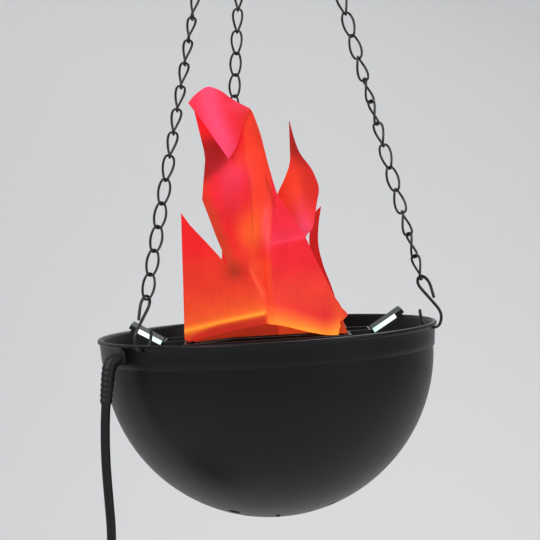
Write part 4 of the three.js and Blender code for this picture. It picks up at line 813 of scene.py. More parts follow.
def from_vent():
    """Columns counted from the nearest vent's middle; the first vent is at 270 degrees."""
    half = VENT["apart"] // 2
    return (np.arange(BOWL_SIDES) - BOWL_SIDES * 3 // 4 + half) % VENT["apart"] - half


def wall_columns(r):
    """Angle of each column at each row: 24 columns from vent to vent, four of them drawn in to one vent's
    width."""
    step = 2 * np.pi / BOWL_SIDES
    near = from_vent()
    centre = (np.arange(BOWL_SIDES) - near) * step
    at_vent = (r >= VENT["inner"]) & (r <= VENT["outer"])
    drawn_in = vent_half(np.clip(r, VENT["inner"], VENT["outer"])) / np.maximum(r, 1)
    beside = np.where(at_vent, drawn_in, 2 * step)[:, None]
    away = np.abs(near)[None, :]
    outside = beside + (away - 2) / 10 * (12 * step - beside)
    return centre + np.sign(near) * np.where(away <= 2, away / 2 * beside, outside)


def hole_ring(points, border, centre, radius, height):
    """Where a ray from a hole's middle through each border point meets the hole's circle. Height is one
    number, or the radius of the sphere that the circle is on."""
    away = points[border, :2] - centre
    flat = centre + away / np.linalg.norm(away, axis=1)[:, None] * radius
    z = sphere(height, np.linalg.norm(flat, axis=1)) if height > 0 else np.full(len(border), height)
    return np.column_stack([flat, z])


def well_border(azimuth, first_row, last_row):
    """Point numbers round a screw well's square patch of cells, and the patch's columns."""
    step = 360 / BOWL_SIDES
    first, last = (round((azimuth + side * WELL["reach"]) / step) for side in (-1, 1))
    across = np.arange(first, last + 1) % BOWL_SIDES
    up = np.arange(first_row, last_row + 1)
    border = [first_row * BOWL_SIDES + across, up[1:] * BOWL_SIDES + across[-1],
              last_row * BOWL_SIDES + across[-2::-1], up[-2:0:-1] * BOWL_SIDES + across[0]]
    return np.concatenate(border), across[:-1]


def bowl_wall():
    """Sphere z = c - sqrt(R^2 - r^2) outside and inside with a flat pole, a drafted band over a small
    step and a rounded lip. Cells over the air vents and the screw wells are left out and their edges
    are walled."""
    inner_radius = BOWL_RADIUS - BOWL_WALL
    outer = wall_profile(BOWL_RADIUS, OUTER_SHOULDER, OUTER_BAND)
    inner = wall_profile(inner_radius, INNER_SHOULDER, INNER_BAND)
    out_points, in_points = (
        around(p[:, None, 0], wall_columns(p[:, 0]), p[:, None, 1]) for p in (outer, inner))
    start = len(out_points)
    points = [out_points, in_points, [[0, 0, outer[0, 1]], [0, 0, inner[0, 1]]]]
    count = start + len(in_points) + 2
    rows = len(BOWL_ROWS)
    near = from_vent()
    at_row = BOWL_ROWS[:, None]
    gone = (at_row >= VENT["inner"]) & (at_row < VENT["outer"]) & (near >= -2) & (near < 2)
    quads = cells(len(outer), BOWL_SIDES, close_columns=True)
    inside_quads = cells(len(inner), BOWL_SIDES, close_columns=True)[:, ::-1] + start
    faces = []
    for shift, axis, ends in ((1, 0, (3, 2)), (-1, 0, (1, 0)), (1, 1, (2, 1)), (-1, 1, (0, 3))):
        edge = (gone & ~np.roll(gone, -shift, axis)).ravel()
        q = quads[: rows * BOWL_SIDES][edge]
        first, second = q[:, ends[0]], q[:, ends[1]]
        faces.append(np.stack([first, second, second + start, first + start], 1))
    first_row, last_row = (int(np.where(BOWL_ROWS == r)[0][0]) for r in WELL["rows"])
    row = np.arange(rows)[:, None]
    for k in range(4):
        azimuth = BASE_SCREW_AZIMUTH + 90 * k
        centre = polar(BASE_SCREW_CIRCLE, azimuth)[:2]
        border, columns = well_border(azimuth, first_row, last_row)
        gone |= (row >= first_row) & (row < last_row) & np.isin(np.arange(BOWL_SIDES), columns)
        rings = [hole_ring(out_points, border, centre, r, z)
                 for r, z in ((WELL["radius"], BOWL_RADIUS), (WELL["radius"], WELL["floor"]),
                              (WELL["screw"], WELL["floor"]), (WELL["screw"], WELL["top"]),
                              (WELL["boss"] - 0.3, WELL["top"]), (WELL["boss"], WELL["shoulder"]))]
        rings.append(hole_ring(in_points, border, centre, WELL["boss"], inner_radius))
        ids = np.arange(len(border))
        levels = [border, *[count + len(border) * i + ids for i in range(len(rings))], start + border]
        for below, above in zip(levels, levels[1:]):
            faces.append(np.stack([below, np.roll(below, -1), np.roll(above, -1), above], 1))
        points += rings
        count += len(border) * len(rings)
    keep, inside_keep = np.ones(len(quads), bool), np.ones(len(inside_quads), bool)
    keep[: rows * BOWL_SIDES] = inside_keep[: rows * BOWL_SIDES] = ~gone.ravel()
    top_out = (len(outer) - 1) * BOWL_SIDES + np.arange(BOWL_SIDES)
    top_in = start + (len(inner) - 1) * BOWL_SIDES + np.arange(BOWL_SIDES)
    lip = np.stack([top_out, np.roll(top_out, -1), np.roll(top_in, -1), top_in], 1)
    pole = start + len(in_points)
    faces += [lip, fan(0, BOWL_SIDES, pole, forward=False), fan(start, BOWL_SIDES, pole + 1)]
    return np.vstack(points), [quads[keep], inside_quads[inside_keep], *faces]


def bowl():
    """The bowl in near-black satin moulding, and the ribs inside it that carry the deck."""
    dress(build("bowl_shell", *bowl_wall()), "bowl_plastic", "black_plastic", "lamp", "bowl")
    ribs = merged([block(RIB_LOW, RIB_HIGH, RIB_AZIMUTH + 120 * k) for k in range(3)])
    dress(build("deck_ribs", *ribs, smooth=False), "bowl_plastic", "black_plastic", "lamp")


# Masks and depth of the silk, as functions of x and z on its outline

MASKS = ("glow", "bloom", "shade")
FRAME_CORNER = 56
FRONT_REACH = 32.5
PANEL_RIDGE = 95
BAND_RIDGE = 129
HEM_FOLD = [(-56, 1.4), (-30.5, 6.6), (-3.6, 11.4), (0, 12.3)]
FRONT_FOOT_LINE = [(0, 6.5), (8.8, 4.8), (21.2, -0.5), (39.4, -7.4), (50, -7.2)]
VALLEY = [(0.2, 6.5), (-0.8, 18), (-2.8, 25), (-6.9, 34), (-9.4, 40), (-9.2, 53), (-8, 75)]
VALLEY_LIP = [(x + 1, z) for x, z in VALLEY]
PANEL_FOLD = [(5.2, 40), (5.6, 58), (8.4, 87)]
PANEL_LIP = [(3.4, 50), (3.2, 70), (5.5, 86)]
PANEL_TOP = [(9.9, 83), (5.2, 102)]
BAND_FOLD = [(-6, 55), (-5.4, 79), (-5.8, 102), (-8, 118)]
BAND_SIDE = [(-25.2, 47), (-28.6, 57), (-31.9, 70), (-39.4, 90), (-35.3, 117), (-37.2, 131), (-41, 152)]
BAND_FOOT = [(-20, 41), (-27.5, 62), (-36, 88)]
BAND_RIGHT = [(11, 101), (3.1, 125), (-1, 148)]
HOLLOW_END = [(-19, 110), (-17, 130)]
CROSS_FOLD = (57.0, 0.16, 5)


def rise(away, soft):
    """0 well below 0 and 1 well above it, softened over a width."""
    return 1 / (1 + np.exp(-3 * away / soft))


def crease(x, z, start, end, width):
    """0 well to the left of a straight line and 1 well to its right."""
    (ax, az), (bx, bz) = start, end
    return rise(((x - ax) * (bz - az) - (z - az) * (bx - ax)) / math.hypot(bx - ax, bz - az), width)


def beside(x, z, line):
    """Distance along X to the right of a bent line of (x, z) points."""
    return x - np.interp(z, [q[1] for q in line], [q[0] for q in line])


def past(x, z, line, soft):
    """0 to the left of a bent line and 1 to its right."""
    return rise(beside(x, z, line), soft)


def ridge(x, z, line, width):
    """1 along a bent line, falling off to both sides: exp(-d^2)."""
    return np.exp(-((beside(x, z, line) / width) ** 2))


def between(z, low, high, soft):
    """1 between two heights, softened at both."""
    return rise(z - low, soft) * rise(high - z, soft)


def spot(x, z, cx, cz, rx, rz, turn=0.0):
    """A soft oval patch: exp(-d^2) with its own axes and turn in degrees."""
    c, s = math.cos(math.radians(turn)), math.sin(math.radians(turn))
    dx, dz = (x - cx) * c + (z - cz) * s, -(x - cx) * s + (z - cz) * c
    return np.exp(-((dx / rx) ** 2) - (dz / rz) ** 2)


def spots(x, z, *table):
    """The sum of some spots, each with its share first."""
    return sum(share * spot(x, z, *place) for share, *place in table)


def streaks(x, z, *table):
    """The sum of some ridges, each with its share, line and width, and its lowest and highest point and
    their softness."""
    return sum(share * ridge(x, z, line, width) * between(z, *ends) for share, line, width, *ends in table)


def above_hem(z, height):
    """1 at the hem and below it, falling to 0 at a height over it."""
    return np.clip(1 - (z + 7) / height, 0, 1)


def front_depth(x, z, top):
    """Front silk: forward of the frame's corners by a ridge that fades out with height."""
    inward = np.clip(1 - np.abs(x) / FRAME_CORNER, 0, 1)
    return 5 - FRONT_REACH * inward * np.clip(1 - np.clip(z + 8, 0, None) / top, 0, 1)


def rear_depth(x, z, standing):
    """Rear silk: from the frame's rear edge at its hem to an upright plane at the given depth."""
    hem = np.interp(np.abs(x), [24, 57], [33, 5]) + standing[0]
    return hem + (standing[1] - hem) * np.clip((z - HEM) / 34, 0, 1)


def front_light(x, z):
    """Masks shared by the three front silks: a bright fold over the left hem with a duller facet under it,
    a deep hem glow on the right, crimson folds up the band and a dark hollow under the turned tip."""
    fold = z - np.interp(x, *np.transpose(HEM_FOLD))
    foot = z - np.interp(x, *np.transpose(FRONT_FOOT_LINE))
    right = past(x, z, VALLEY, 1.2)
    left = 1 - right
    low_left = left * between(z, -20, 50, 8)
    panel = past(x, z, PANEL_FOLD, 1.0) * between(z, -20, 200, 1)
    bare = 1 - panel
    cross = z - (CROSS_FOLD[0] + CROSS_FOLD[1] * (x - CROSS_FOLD[2]))
    corner = np.clip((-34 - x) / 20, 0, 1)
    over_fold = np.exp(-np.clip(fold, 0, None) / 6) * np.clip(1 + fold / (1.2 + 6 * corner), 0, 1)
    hem_left = 0.42 * np.exp(-((fold / 2.0) ** 2)) + 0.46 * over_fold
    hem_right = np.clip(1 - foot / 14, 0, 1) ** 1.4 * (0.6 + 0.4 * np.clip(x / 28, 0, 1))
    glow = (low_left * (0.08 + 0.08 * between(z, 8, 26, 12) + hem_left) + right * hem_right
            + bare * right * (0.06 * between(z, 42, 84, 8) + 0.14 * between(z, 12, 46, 6))
            + bare * 0.1 * past(x, z, BAND_FOLD, 1.2) * between(z, 60, 150, 6)
            + panel * 0.12 * between(z, 8, 34, 12)
            + spots(x, z, (0.26, -9.5, 66, 7, 13), (0.06, -10, 116.5, 7, 8), (0.2, 50, 2, 5, 12))
            + streaks(x, z, (0.07, BAND_SIDE, 5, 50, 106, 6), (0.1, VALLEY_LIP, 1.6, 22, 40, 5))
            + left * streaks(x, z, (0.1, BAND_FOOT, 4.5, 38, 88, 7)))
    bloom = (panel * (0.3 * between(cross, 0, 40, 1.5) * np.exp(-np.clip(cross, 0, None) / 9) + 0.1)
             + panel * 0.2 * np.exp(-((cross / 1.2) ** 2))
             + spots(x, z, (0.3, -15.5, 106, 10, 9), (0.22, -20, 96, 11, 16))
             + streaks(x, z, (0.62, PANEL_LIP, 2.6, 56, 82, 8), (0.2, VALLEY_LIP, 1.3, 22, 40, 5)))
    under_tip = (1 - crease(x, z, (-35, 103), (-17, 115.6), 3.4)) * (1 - past(x, z, HOLLOW_END, 5))
    shade = (0.66 * under_tip * between(z, 102, 132, 6)
             + low_left * (0.1 + spots(x, z, (0.22, -52, 74, 7, 20), (0.34, -19, 40, 9, 7)))
             + low_left * 0.22 * np.clip(-fold / 2.5, 0, 1) * (1 - 0.8 * corner)
             + left * streaks(x, z, (0.26, BAND_FOOT, 4.5, 38, 88, 7))
             + streaks(x, z, (0.16, BAND_SIDE, 5, 50, 106, 6), (0.34, PANEL_TOP, 1.2, 82, 104, 4),
                       (0.2, BAND_FOLD, 0.8, 62, 104, 5), (0.16, BAND_RIGHT, 3, 96, 150, 5))
             + spots(x, z, (0.14, -20, 84, 9, 16)))
    return glow, bloom, shade


# Silk

CLOTH_THICKNESS = 0.4


def patch(left, right, foot, top, across, up, straight=()):
    """A Coons patch: the sum of the two blends between facing edges, less the blend of the four corners.
    Edges are lists of (x, z); those named as straight keep straight runs between their points."""
    edges = {"left": (left, up), "right": (right, up), "foot": (foot, across), "top": (top, across)}
    lft, rgt, bot, roof = (even(points, count) if name in straight else flow(points, count)
                           for name, (points, count) in edges.items())
    u, v = np.meshgrid(np.linspace(0, 1, across), np.linspace(0, 1, up))
    u, v = u[..., None], v[..., None]
    corners = (1 - u) * (1 - v) * lft[0] + u * (1 - v) * rgt[0] + (1 - u) * v * lft[-1] + u * v * rgt[-1]
    flat = (1 - v) * bot[None] + v * roof[None] + (1 - u) * lft[:, None] + u * rgt[:, None] - corners
    return flat[..., 0], flat[..., 1], u[..., 0], v[..., 0]


def tongue(name, body, grid, depth, light, nodes=()):
    """One silk tongue from its outline and depth, with soft wrinkles along it and its masks of light. It
    leans about its hem."""
    x, z, _, v = grid
    wrinkle = 0.35 * np.sin(0.21 * z + 0.13 * x + 1.3 * np.sin(0.05 * z)) + 0.25 * np.sin(0.33 * x - 0.08 * z)
    y = depth + wrinkle * np.clip(v * 4, 0, 1)
    points = np.stack([x, y, z], -1).reshape(-1, 3)
    uv = np.stack([x - x.min(), z], -1).reshape(-1, 2)
    masks = {key: np.clip(share + 0 * x, 0, 1).ravel() for key, share in zip(MASKS, light)}
    piece = build(name, points, [cells(*x.shape)], uv=uv, masks=masks)
    coat(piece, "silk")
    shell = piece.modifiers.new("cloth", "SOLIDIFY")
    shell.thickness = CLOTH_THICKNESS * MM
    shell.offset = 0
    if nodes:
        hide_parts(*nodes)
    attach(piece, body)


LEFT_EDGE = [(-56.6, -6.5), (-55.8, 16.5), (-54.8, 48), (-53.9, 82)]
LEFT_TOP = [(-53.9, 82), (-48.5, 73.6), (-38.7, 62), (-30.1, 51.8), (-25.8, 46.2), (-12, 36), (2.0, 28)]
LEFT_HEM = [(-56.6, -6.5), (-52.2, -6.1), (-36, -2.4), (-18, 1.6), (0.9, 4.9)]
LEFT_CREASE = [(0.9, 4.9), (1.4, 12), (1.8, 20), (2.0, 28)]


def silk_left():
    """Front left panel; its lowest strip is turned back under a fold that rises towards the middle."""
    grid = patch(LEFT_EDGE, LEFT_CREASE, LEFT_HEM, LEFT_TOP, 96, 120, straight=("left", "top"))
    x, z, _, _ = grid
    under = np.clip(np.interp(x, *np.transpose(HEM_FOLD)) - z, 0, None)
    depth = front_depth(x, z, PANEL_RIDGE) - 1.5 * crease(x, z, (-49, 17), (-10, 48), 9) + 0.45 * under
    tongue("silk_left_panel", "silk_front", grid, depth, front_light(x, z),
           ("silk_left",))


TALL_LEFT = [(0.9, 4.9), (-4.5, 17), (-12, 31), (-23.6, 44.7), (-30, 62), (-39, 90.2), (-35.3, 117),
             (-35.7, 123.4), (-37.2, 131.2), (-41, 152.1), (-44.4, 156)]
TALL_TOP = [(-44.4, 156), (-39.4, 161.3), (-31.4, 166.2), (-25.2, 164.8), (-20.6, 162.2), (-13.6, 156.5),
            (-2.6, 149.9)]
TALL_RIGHT = [(21, 6), (20, 40), (17, 70), (13.6, 88.1), (11.5, 93.6), (7.2, 112.4), (3.6, 131.1),
              (-0.5, 145.4), (-2.6, 149.9)]
TALL_FOOT = [(0.9, 4.9), (11, 5.6), (21, 6)]


def band_depth(x, z):
    """The tall band's upper part, bent back along the line under the turned tip."""
    return front_depth(x, z, BAND_RIDGE) + 1.2 - 2.2 * crease(x, z, (-44, 156), (-19, 117), 5)


def silk_tall():
    """The tall band: two slanting creases over its foot and a fold up its middle."""
    grid = patch(TALL_LEFT, TALL_RIGHT, TALL_FOOT, TALL_TOP, 96, 200, straight=("foot", "left"))
    x, z, _, _ = grid
    front = front_depth(x, z, BAND_RIDGE) + 1.2
    depth = front + (band_depth(x, z) - front) * np.clip((z - 100) / 30, 0, 1)
    depth += 2.0 * crease(x, z, (-39, 90), (8, 52), 7) + 1.6 * crease(x, z, (-10, 104), (8, 30), 5)
    depth -= 1.2 * ridge(x, z, BAND_FOLD, 4) * between(z, 60, 112, 10)
    tongue("silk_tall_band", "silk_front", grid, depth, front_light(x, z),
           ("silk_tall",))


FLAP_LEFT = [(-19.3, 116.8), (-27, 129), (-35, 142), (-44.4, 156)]
FLAP_RIGHT = [(-19.3, 116.8), (-14, 124), (-9, 136), (-2.6, 149.9)]
FLAP_POINT = [(-19.3, 116.8), (-19.2, 116.8), (-19.1, 116.8)]
FLAP_CORE = [(-19, 122), (-30, 153)]


def silk_flap():
    """The tip folded over towards the viewer: it lies on the band along the top and lifts away at its
    lower left."""
    grid = patch(FLAP_LEFT, FLAP_RIGHT, FLAP_POINT, TALL_TOP, 40, 50)
    x, z, u, v = grid
    depth = band_depth(x, z) - 3.2 * (1 - u) * (1 - v) ** 0.5 - 1.0
    light = (0.04 * np.clip((x + 14) / 10, 0, 1),
             0.3 + 0.75 * ridge(x, z, FLAP_CORE, 8) - 0.25 * u + spots(x, z, (0.36, -9, 153, 10, 5)),
             spots(x, z, (0.12, -6, 146, 7, 7), (0.1, -40, 140, 6, 16)))
    tongue("silk_tall_flap", "silk_front", grid, depth, light)


FRONT_LEFT = [(0.9, 4.9), (1.6, 20), (2.3, 40), (2.8, 57), (4.6, 74), (8, 84), (12.4, 90)]
FRONT_RIGHT = [(48.3, -7.2), (49.0, -3.4), (50.2, -1.6), (49.6, 1.8), (52.8, 3.2), (55.8, 5.9), (53.9, 8.7),
               (51.4, 11.4), (50.2, 14.4), (47.1, 18.9), (41.7, 31.8), (36, 44.6), (30.4, 58.8),
               (22.5, 74.1), (13.6, 88.9)]
FRONT_FOOT = [(0.9, 4.9), (12, 2.2), (26, -2.4), (39.3, -6.2), (48.3, -7.2)]
FRONT_TOP = [(12.4, 90), (13.0, 90.2), (13.6, 88.9)]


def silk_front():
    """Front right panel: one slanting crease, and the cross fold near its top."""
    grid = patch(FRONT_LEFT, FRONT_RIGHT, FRONT_FOOT, FRONT_TOP, 96, 140, straight=("right", "top"))
    x, z, _, _ = grid
    depth = front_depth(x, z, BAND_RIDGE) - 1.4 + 1.5 * crease(x, z, (8, 50), (48, 12), 10)
    depth += 0.8 * crease(x, z, (40, 62), (2, 56), 2)
    tongue("silk_front_panel", "silk_front", grid, depth, front_light(x, z))


SIDE_LEFT = [(8, -7.2), (7.5, 30), (8.4, 60), (10, 78), (12.8, 90.9), (18, 101), (22.3, 112.1), (23, 124.8),
             (23.5, 140.6)]
SIDE_RIGHT = [(46, -7.2), (40, 16), (33, 40), (30.5, 58.8), (35.8, 66.8), (39.5, 83.2), (41.4, 92),
              (40.4, 98.3), (36.8, 107.5), (29.8, 118.2), (26.3, 128.7), (23.9, 140.6)]
SIDE_FOOT = [(8, -7.2), (27, -7.2), (46, -7.2)]
SIDE_TOP = [(23.5, 140.6), (23.7, 140.9), (23.9, 140.6)]
SIDE_TURN = [(27, 60), (30, 92), (29, 108), (22.5, 122)]


def silk_side():
    """The right rear tongue, which turns away to the right and comes to a point darkened by painted shade."""
    grid = patch(SIDE_LEFT, SIDE_RIGHT, SIDE_FOOT, SIDE_TOP, 44, 120)
    x, z, _, _ = grid
    depth = np.interp(z, [HEM, 27, 145], [31.4, 25, 21.8]) + 3 * crease(x, z, (12, 84), (40, 56), 6) - 1.5
    # Painted shade on the part turned away, on the point and at the hem; below it painted glow and pink
    # painted highlights
    turned_away_shade = past(x, z, SIDE_TURN, 4) * between(z, 84, 150, 8)
    light = (0.05 + spots(x, z, (0.08, 24, 94, 9, 16)) + 0.2 * above_hem(z, 25),
             spots(x, z, (0.95, 31, 65, 7, 9, 20), (0.35, 29, 78, 7, 12)),
             0.45 * np.clip((z - 106) / 14, 0, 1) + 0.28 * turned_away_shade + 0.3 * above_hem(z, 26))
    tongue("silk_side_tongue", "silk_side", grid, depth, light, ("silk_right",))


FAR_LEFT = [(31, -7.2), (36, 8), (36.5, 28), (33.1, 53.7), (34.6, 66.8), (38.3, 76.3), (42.3, 80.4)]
FAR_RIGHT = [(55, -7.2), (50, 12), (46.2, 26.1), (42, 39.2), (39.4, 53.3), (40.1, 66.5), (42.7, 80.2)]
FAR_FOOT = [(31, -7.2), (43, -7.2), (55, -7.2)]
FAR_TOP = [(42.3, 80.4), (42.5, 80.6), (42.7, 80.2)]


def silk_far():
    """The small far tongue, dim all over but for its hem."""
    grid = patch(FAR_LEFT, FAR_RIGHT, FAR_FOOT, FAR_TOP, 28, 80)
    x, z, _, _ = grid
    depth = rear_depth(x, z, (1.6, 34.5)) + 1.2 * crease(x, z, (44, 4), (37, 60), 4)
    light = (0.3 * above_hem(z, 22) + 0.03, 0, 0.4)
    tongue("silk_far_tongue", "silk_side", grid, depth, light, ("silk_far_right",))


BACK_LEFT = [(-50.4, -7.2), (-42, 20), (-32, 38), (-28.8, 47), (-28, 54), (-25.6, 62), (-25, 87),
             (-20.4, 109), (-13.4, 129.7)]
BACK_RIGHT = [(9, -7.2), (8.5, 27), (6.6, 61), (3.8, 87), (0, 109), (-9, 129.7)]
BACK_FOOT = [(-50.4, -7.2), (-22, -7.2), (9, -7.2)]
BACK_TOP = [(-13.4, 129.7), (-11.2, 131), (-9, 129.7)]


def silk_rear():
    """The rear silk behind the band, in three soft upright waves."""
    grid = patch(BACK_LEFT, BACK_RIGHT, BACK_FOOT, BACK_TOP, 50, 100)
    x, z, u, _ = grid
    waves = np.sin(u * 3 * np.pi) * np.clip((z + 7) / 30, 0, 1)
    light = (0.2 * above_hem(z, 24) + 0.04, 0.06,
             0.55 * above_hem(z, 30) + 0.3 * np.clip((z - 60) / 60, 0, 1) + 0.1)
    depth = rear_depth(x, z, (0, 33)) - 1.8 * waves
    tongue("silk_rear_tongue", "silk_rear", grid, depth, light, ("silk_back",))


# Fittings: screws, fan rotor, lamps and inner leads

BASE_SCREW_HEIGHT = -113.07
DECK_SCREW_CIRCLE = 103
SCREW_SEAT = -16.7
FAN_CORNER = 35.75
BASE_SCREW = {"head": 3.6, "rise": 2.4, "shank": 1.8, "length": 16.2}
DECK_SCREW = {"head": 3.0, "rise": 1.8, "shank": 1.5, "length": 10}
FAN_SCREW = {"head": 3.6, "rise": 2.2, "shank": 1.9, "length": 32}


def screw_shape(head, rise, shank, length, sides=48, rows=14):
    """A pan head with a cross recess over a plain shank. Head height at radius r is h (1 - (r / R)^4 / 3),
    and the recess is two crossed slots whose depth fades towards their ends."""
    a = circle(sides)
    r = np.linspace(0.06, 1, rows)[:, None] * head * 0.93
    arm = np.minimum(np.abs(r * np.cos(a)), np.abs(r * np.sin(a)))
    slots = 1 / (1 + np.exp((arm - 0.16 * head) / (0.03 * head)))
    recess = slots / (1 + np.exp((r - 0.62 * head) / (0.05 * head)))
    top = rise * (1 - (r / head) ** 4 / 3) - 0.62 * rise * recess
    lower = np.array([(head * 0.985, rise * 0.5), (head, rise * 0.38), (head, 0.04), (head * 0.97, 0),
                      (shank, 0), (shank, 1.2 * shank - length), (shank * 0.2, -length)])
    points = np.vstack([around(r, a, top), around(lower[:, :1], a, lower[:, 1:]),
                        [[0, 0, top[0].mean()], [0, 0, -length]]])
    levels = rows + len(lower)
    faces = [cells(levels, sides, close_columns=True)[:, ::-1], fan(0, sides, len(points) - 2),
             fan((levels - 1) * sides, sides, len(points) - 1, forward=False)]
    return points, faces


def screws(kind, places, sizes, finish_name, slot, up=1):
    """One screw at each place, its head up or turned over to face down, each with its recess at its own
    angle."""
    points, faces = screw_shape(**sizes)
    for k, place in enumerate(places):
        set_in = (points * (1, up, up)) @ spin(0.7 * k + 0.3) + place
        piece = build(f"{kind}_screw_head_{k + 1}", set_in, faces)
        dress(piece, finish_name, slot, "lamp", f"{kind}_screw_{k + 1}")


def all_screws():
    """Four under the base, three in the deck and four through the fan's corners."""
    under = [polar(BASE_SCREW_CIRCLE, BASE_SCREW_AZIMUTH + 90 * k, BASE_SCREW_HEIGHT) for k in range(4)]
    deck = [polar(DECK_SCREW_CIRCLE, RIB_AZIMUTH + 120 * k, SCREW_SEAT) for k in range(3)]
    corners = [(x * FAN_CORNER, y * FAN_CORNER, SCREW_SEAT) for x, y in ((-1, -1), (1, -1), (1, 1), (-1, 1))]
    screws("base", under, BASE_SCREW, "black_wire", "black_steel", up=-1)
    screws("deck", deck, DECK_SCREW, "black_wire", "black_steel")
    screws("fan", corners, FAN_SCREW, "bright_steel", "steel")


FAN_TOP = -21.3
BLADE_MIDDLE = -29.8
BLADES = 7
HUB_FOOT = -17
HUB = [(0, -0.8), (1.8, -0.8), (1.8, -1.8), (14.5, -1.8), (14.5, HUB_FOOT), (16, HUB_FOOT), (16, -1.9),
       (15.8, -1.0), (15.2, -0.35), (13.6, 0), (0, 0)]
BLADE_ROOT = 15.3
BLADE_SPAN = 20.9
BLADE_CHORD = 17.5
BLADE_STATIONS = 16
CHORD_STATIONS = 15


def fan_rotor():
    """Hub and seven blades. A blade's middle line curves from hub to tip; its chord is set at a pitch
    that eases from 46 degrees at the hub to 32 at the tip, with camber 7% of the chord and a rounded,
    thinning section."""
    parts = [turned(np.array(HUB) + (0, FAN_TOP), 96)]
    forth = np.linspace(-1, 1, CHORD_STATIONS)
    across = np.concatenate([forth, forth[::-1][1:-1]])
    face = np.concatenate([np.ones(CHORD_STATIONS), -np.ones(CHORD_STATIONS - 2)])
    share = np.linspace(0, 1, BLADE_STATIONS)[:, None]
    radius = BLADE_ROOT + BLADE_SPAN * share
    chord = BLADE_CHORD - 8 * (share - 0.5) ** 2 * (share > 0.5)
    pitch = np.radians(46 - 14 * share)
    thick = (0.95 - 0.35 * share) * np.sqrt(np.clip(1 - across**2, 0, 1)) * face
    rise_off = 0.07 * chord * (1 - across**2) + thick
    along = chord / 2 * across
    tangent = along * np.cos(pitch) - rise_off * np.sin(pitch)
    height = along * np.sin(pitch) + rise_off * np.cos(pitch) + BLADE_MIDDLE
    turn = 0.22 * share**2 + tangent / radius
    size = len(across)
    faces = [cells(BLADE_STATIONS, size, close_columns=True)]
    ids = np.arange(CHORD_STATIONS - 1)
    for row, flip in ((0, 1), ((BLADE_STATIONS - 1) * size, -1)):
        quads = row + np.stack([ids, ids + 1, (size - 1 - ids) % size, (size - ids) % size], 1)
        faces.append(quads[:, ::flip])
    parts += [(around(radius, turn + 2 * np.pi * k / BLADES, height), faces) for k in range(BLADES)]
    dress(build("fan_rotor", *merged(parts)), "fan_plastic", "black_plastic", "rotor", "fan_impeller")


LENS_STRIP = {"place": 43.4, "half": (30.9, 2.9), "low": -14.8, "high": -13.3, "length": 62, "count": 5,
              "cap": {"radius": 2.55, "height": 3.2, "low": -14.0}}
WALL_LIGHTS = {"place": 82, "half": (6, 14), "low": -16.7, "high": -15.1, "length": 28, "count": 3,
               "cap": {"radius": 2.95, "height": 2.9, "low": -15.8}}


def dome(x, y, radius, height, low, sides=28):
    """A lens cap: a straight foot, then radius cos t, height sin t."""
    t = np.radians(np.linspace(0, 90, 9))
    cap = [(radius * math.cos(q), low + height * (0.25 + 0.75 * math.sin(q))) for q in t[:-1]]
    return turned([(0, low), (radius, low), *cap, (0, low + height)], sides, (x, y))


def lamp_row(name, sizes, x, y, along):
    """A plate about its middle at x, y, with a row of domes along it, in the direction given as (x, y)."""
    (hx, hy), low, high = sizes["half"], sizes["low"], sizes["high"]
    parts = [block((x - hx, y - hy, low), (x + hx, y + hy, high))]
    for i in range(sizes["count"]):
        off = ((i + 0.5) / sizes["count"] - 0.5) * sizes["length"]
        parts.append(dome(x + off * along[0], y + off * along[1], **sizes["cap"]))
    return build(name, *merged(parts))


def lamps():
    """The moulded lens strips at the flame's feet and the round lights under the glass plates."""
    for name, side in (("front", -1), ("rear", 1)):
        strip = lamp_row(f"lens_strip_{name}", LENS_STRIP, 0, side * LENS_STRIP["place"], (1, 0))
        dress(strip, "lit_lens", "lens", "lamp", f"led_lens_{name}")
    for name, side in (("left", -1), ("right", 1)):
        row = lamp_row(f"wall_lights_{name}", WALL_LIGHTS, side * WALL_LIGHTS["place"], 0, (0, 1))
        dress(row, "wall_light", "lens", "lamp", f"wall_led_{name}")


THIN_LEAD = 2.4
MAINS_LEAD = [(-87.9, -61.5, -8), (-83.5, -58.6, -8.4), (-78, -57.4, -11.5), (-75, -58, -18),
              (-74, -58, -30), (-66, -56, -52), (-50, -52, -70), (-32, -50, -82), (-20, -50, -89),
              (-12.4, -50, -89.6)]
FAN_LEAD = [(-37.5, -21, -44.7), (-37.5, -21, -52), (-30, -18, -64), (-38, -8, -76), (-40, -6, -88.4)]
LED_LEAD = [(-31.4, 43.4, -15.3), (-35.5, 45, -15), (-38, 46, -17.6), (-38.6, 46, -23), (-44, 44, -34),
            (-48, 36, -60), (-48, 22, -78), (-48, 20, -88.4)]
LEADS = {
    "mains_lead": (CORD_DIAMETER, MAINS_LEAD),
    "fan_lead": (THIN_LEAD, FAN_LEAD),
    "led_lead_front": (THIN_LEAD, [(x, -y, z) for x, y, z in LED_LEAD]),
    "led_lead_rear": (THIN_LEAD, LED_LEAD)}


def inner_leads():
    """The sleeved leads between the elbow, the driver and the lamps, along the same points as in the CAD."""
    for name, (diameter, route) in LEADS.items():
        sleeve = build(f"{name}_sleeve", *tube(flow(route, 120), diameter / 2, 16, (0.3, 0.2, 1)))
        dress(sleeve, "inner_lead", "lead", "lamp", name)


CAD_FINISHES = {
    "frame_plastic": "deck_plate collar silk_frame glass_bracket_left glass_bracket_right plug",
    "fan_plastic": "fan_frame",
    "grey_plastic": "capacitor terminal_block cord_tie",
    "sheet_steel": "base_plate fan_guard",
    "bright_steel": "fan_shaft",
    "pin_brass": "plug_pin_left plug_pin_right",
    "laminations": "transformer_core",
    "winding": "fan_stator transformer_coil",
    "board": "led_board_front led_board_rear driver_board",
    "lit_glass": "filter_glass_left filter_glass_right"}


def finish_nodes():
    """Every node that keeps its CAD shape gets the finish of what it is made of."""
    for finish_name, names in CAD_FINISHES.items():
        for name in names.split():
            coat(NODES[name], finish_name)


# Room and light, in metres

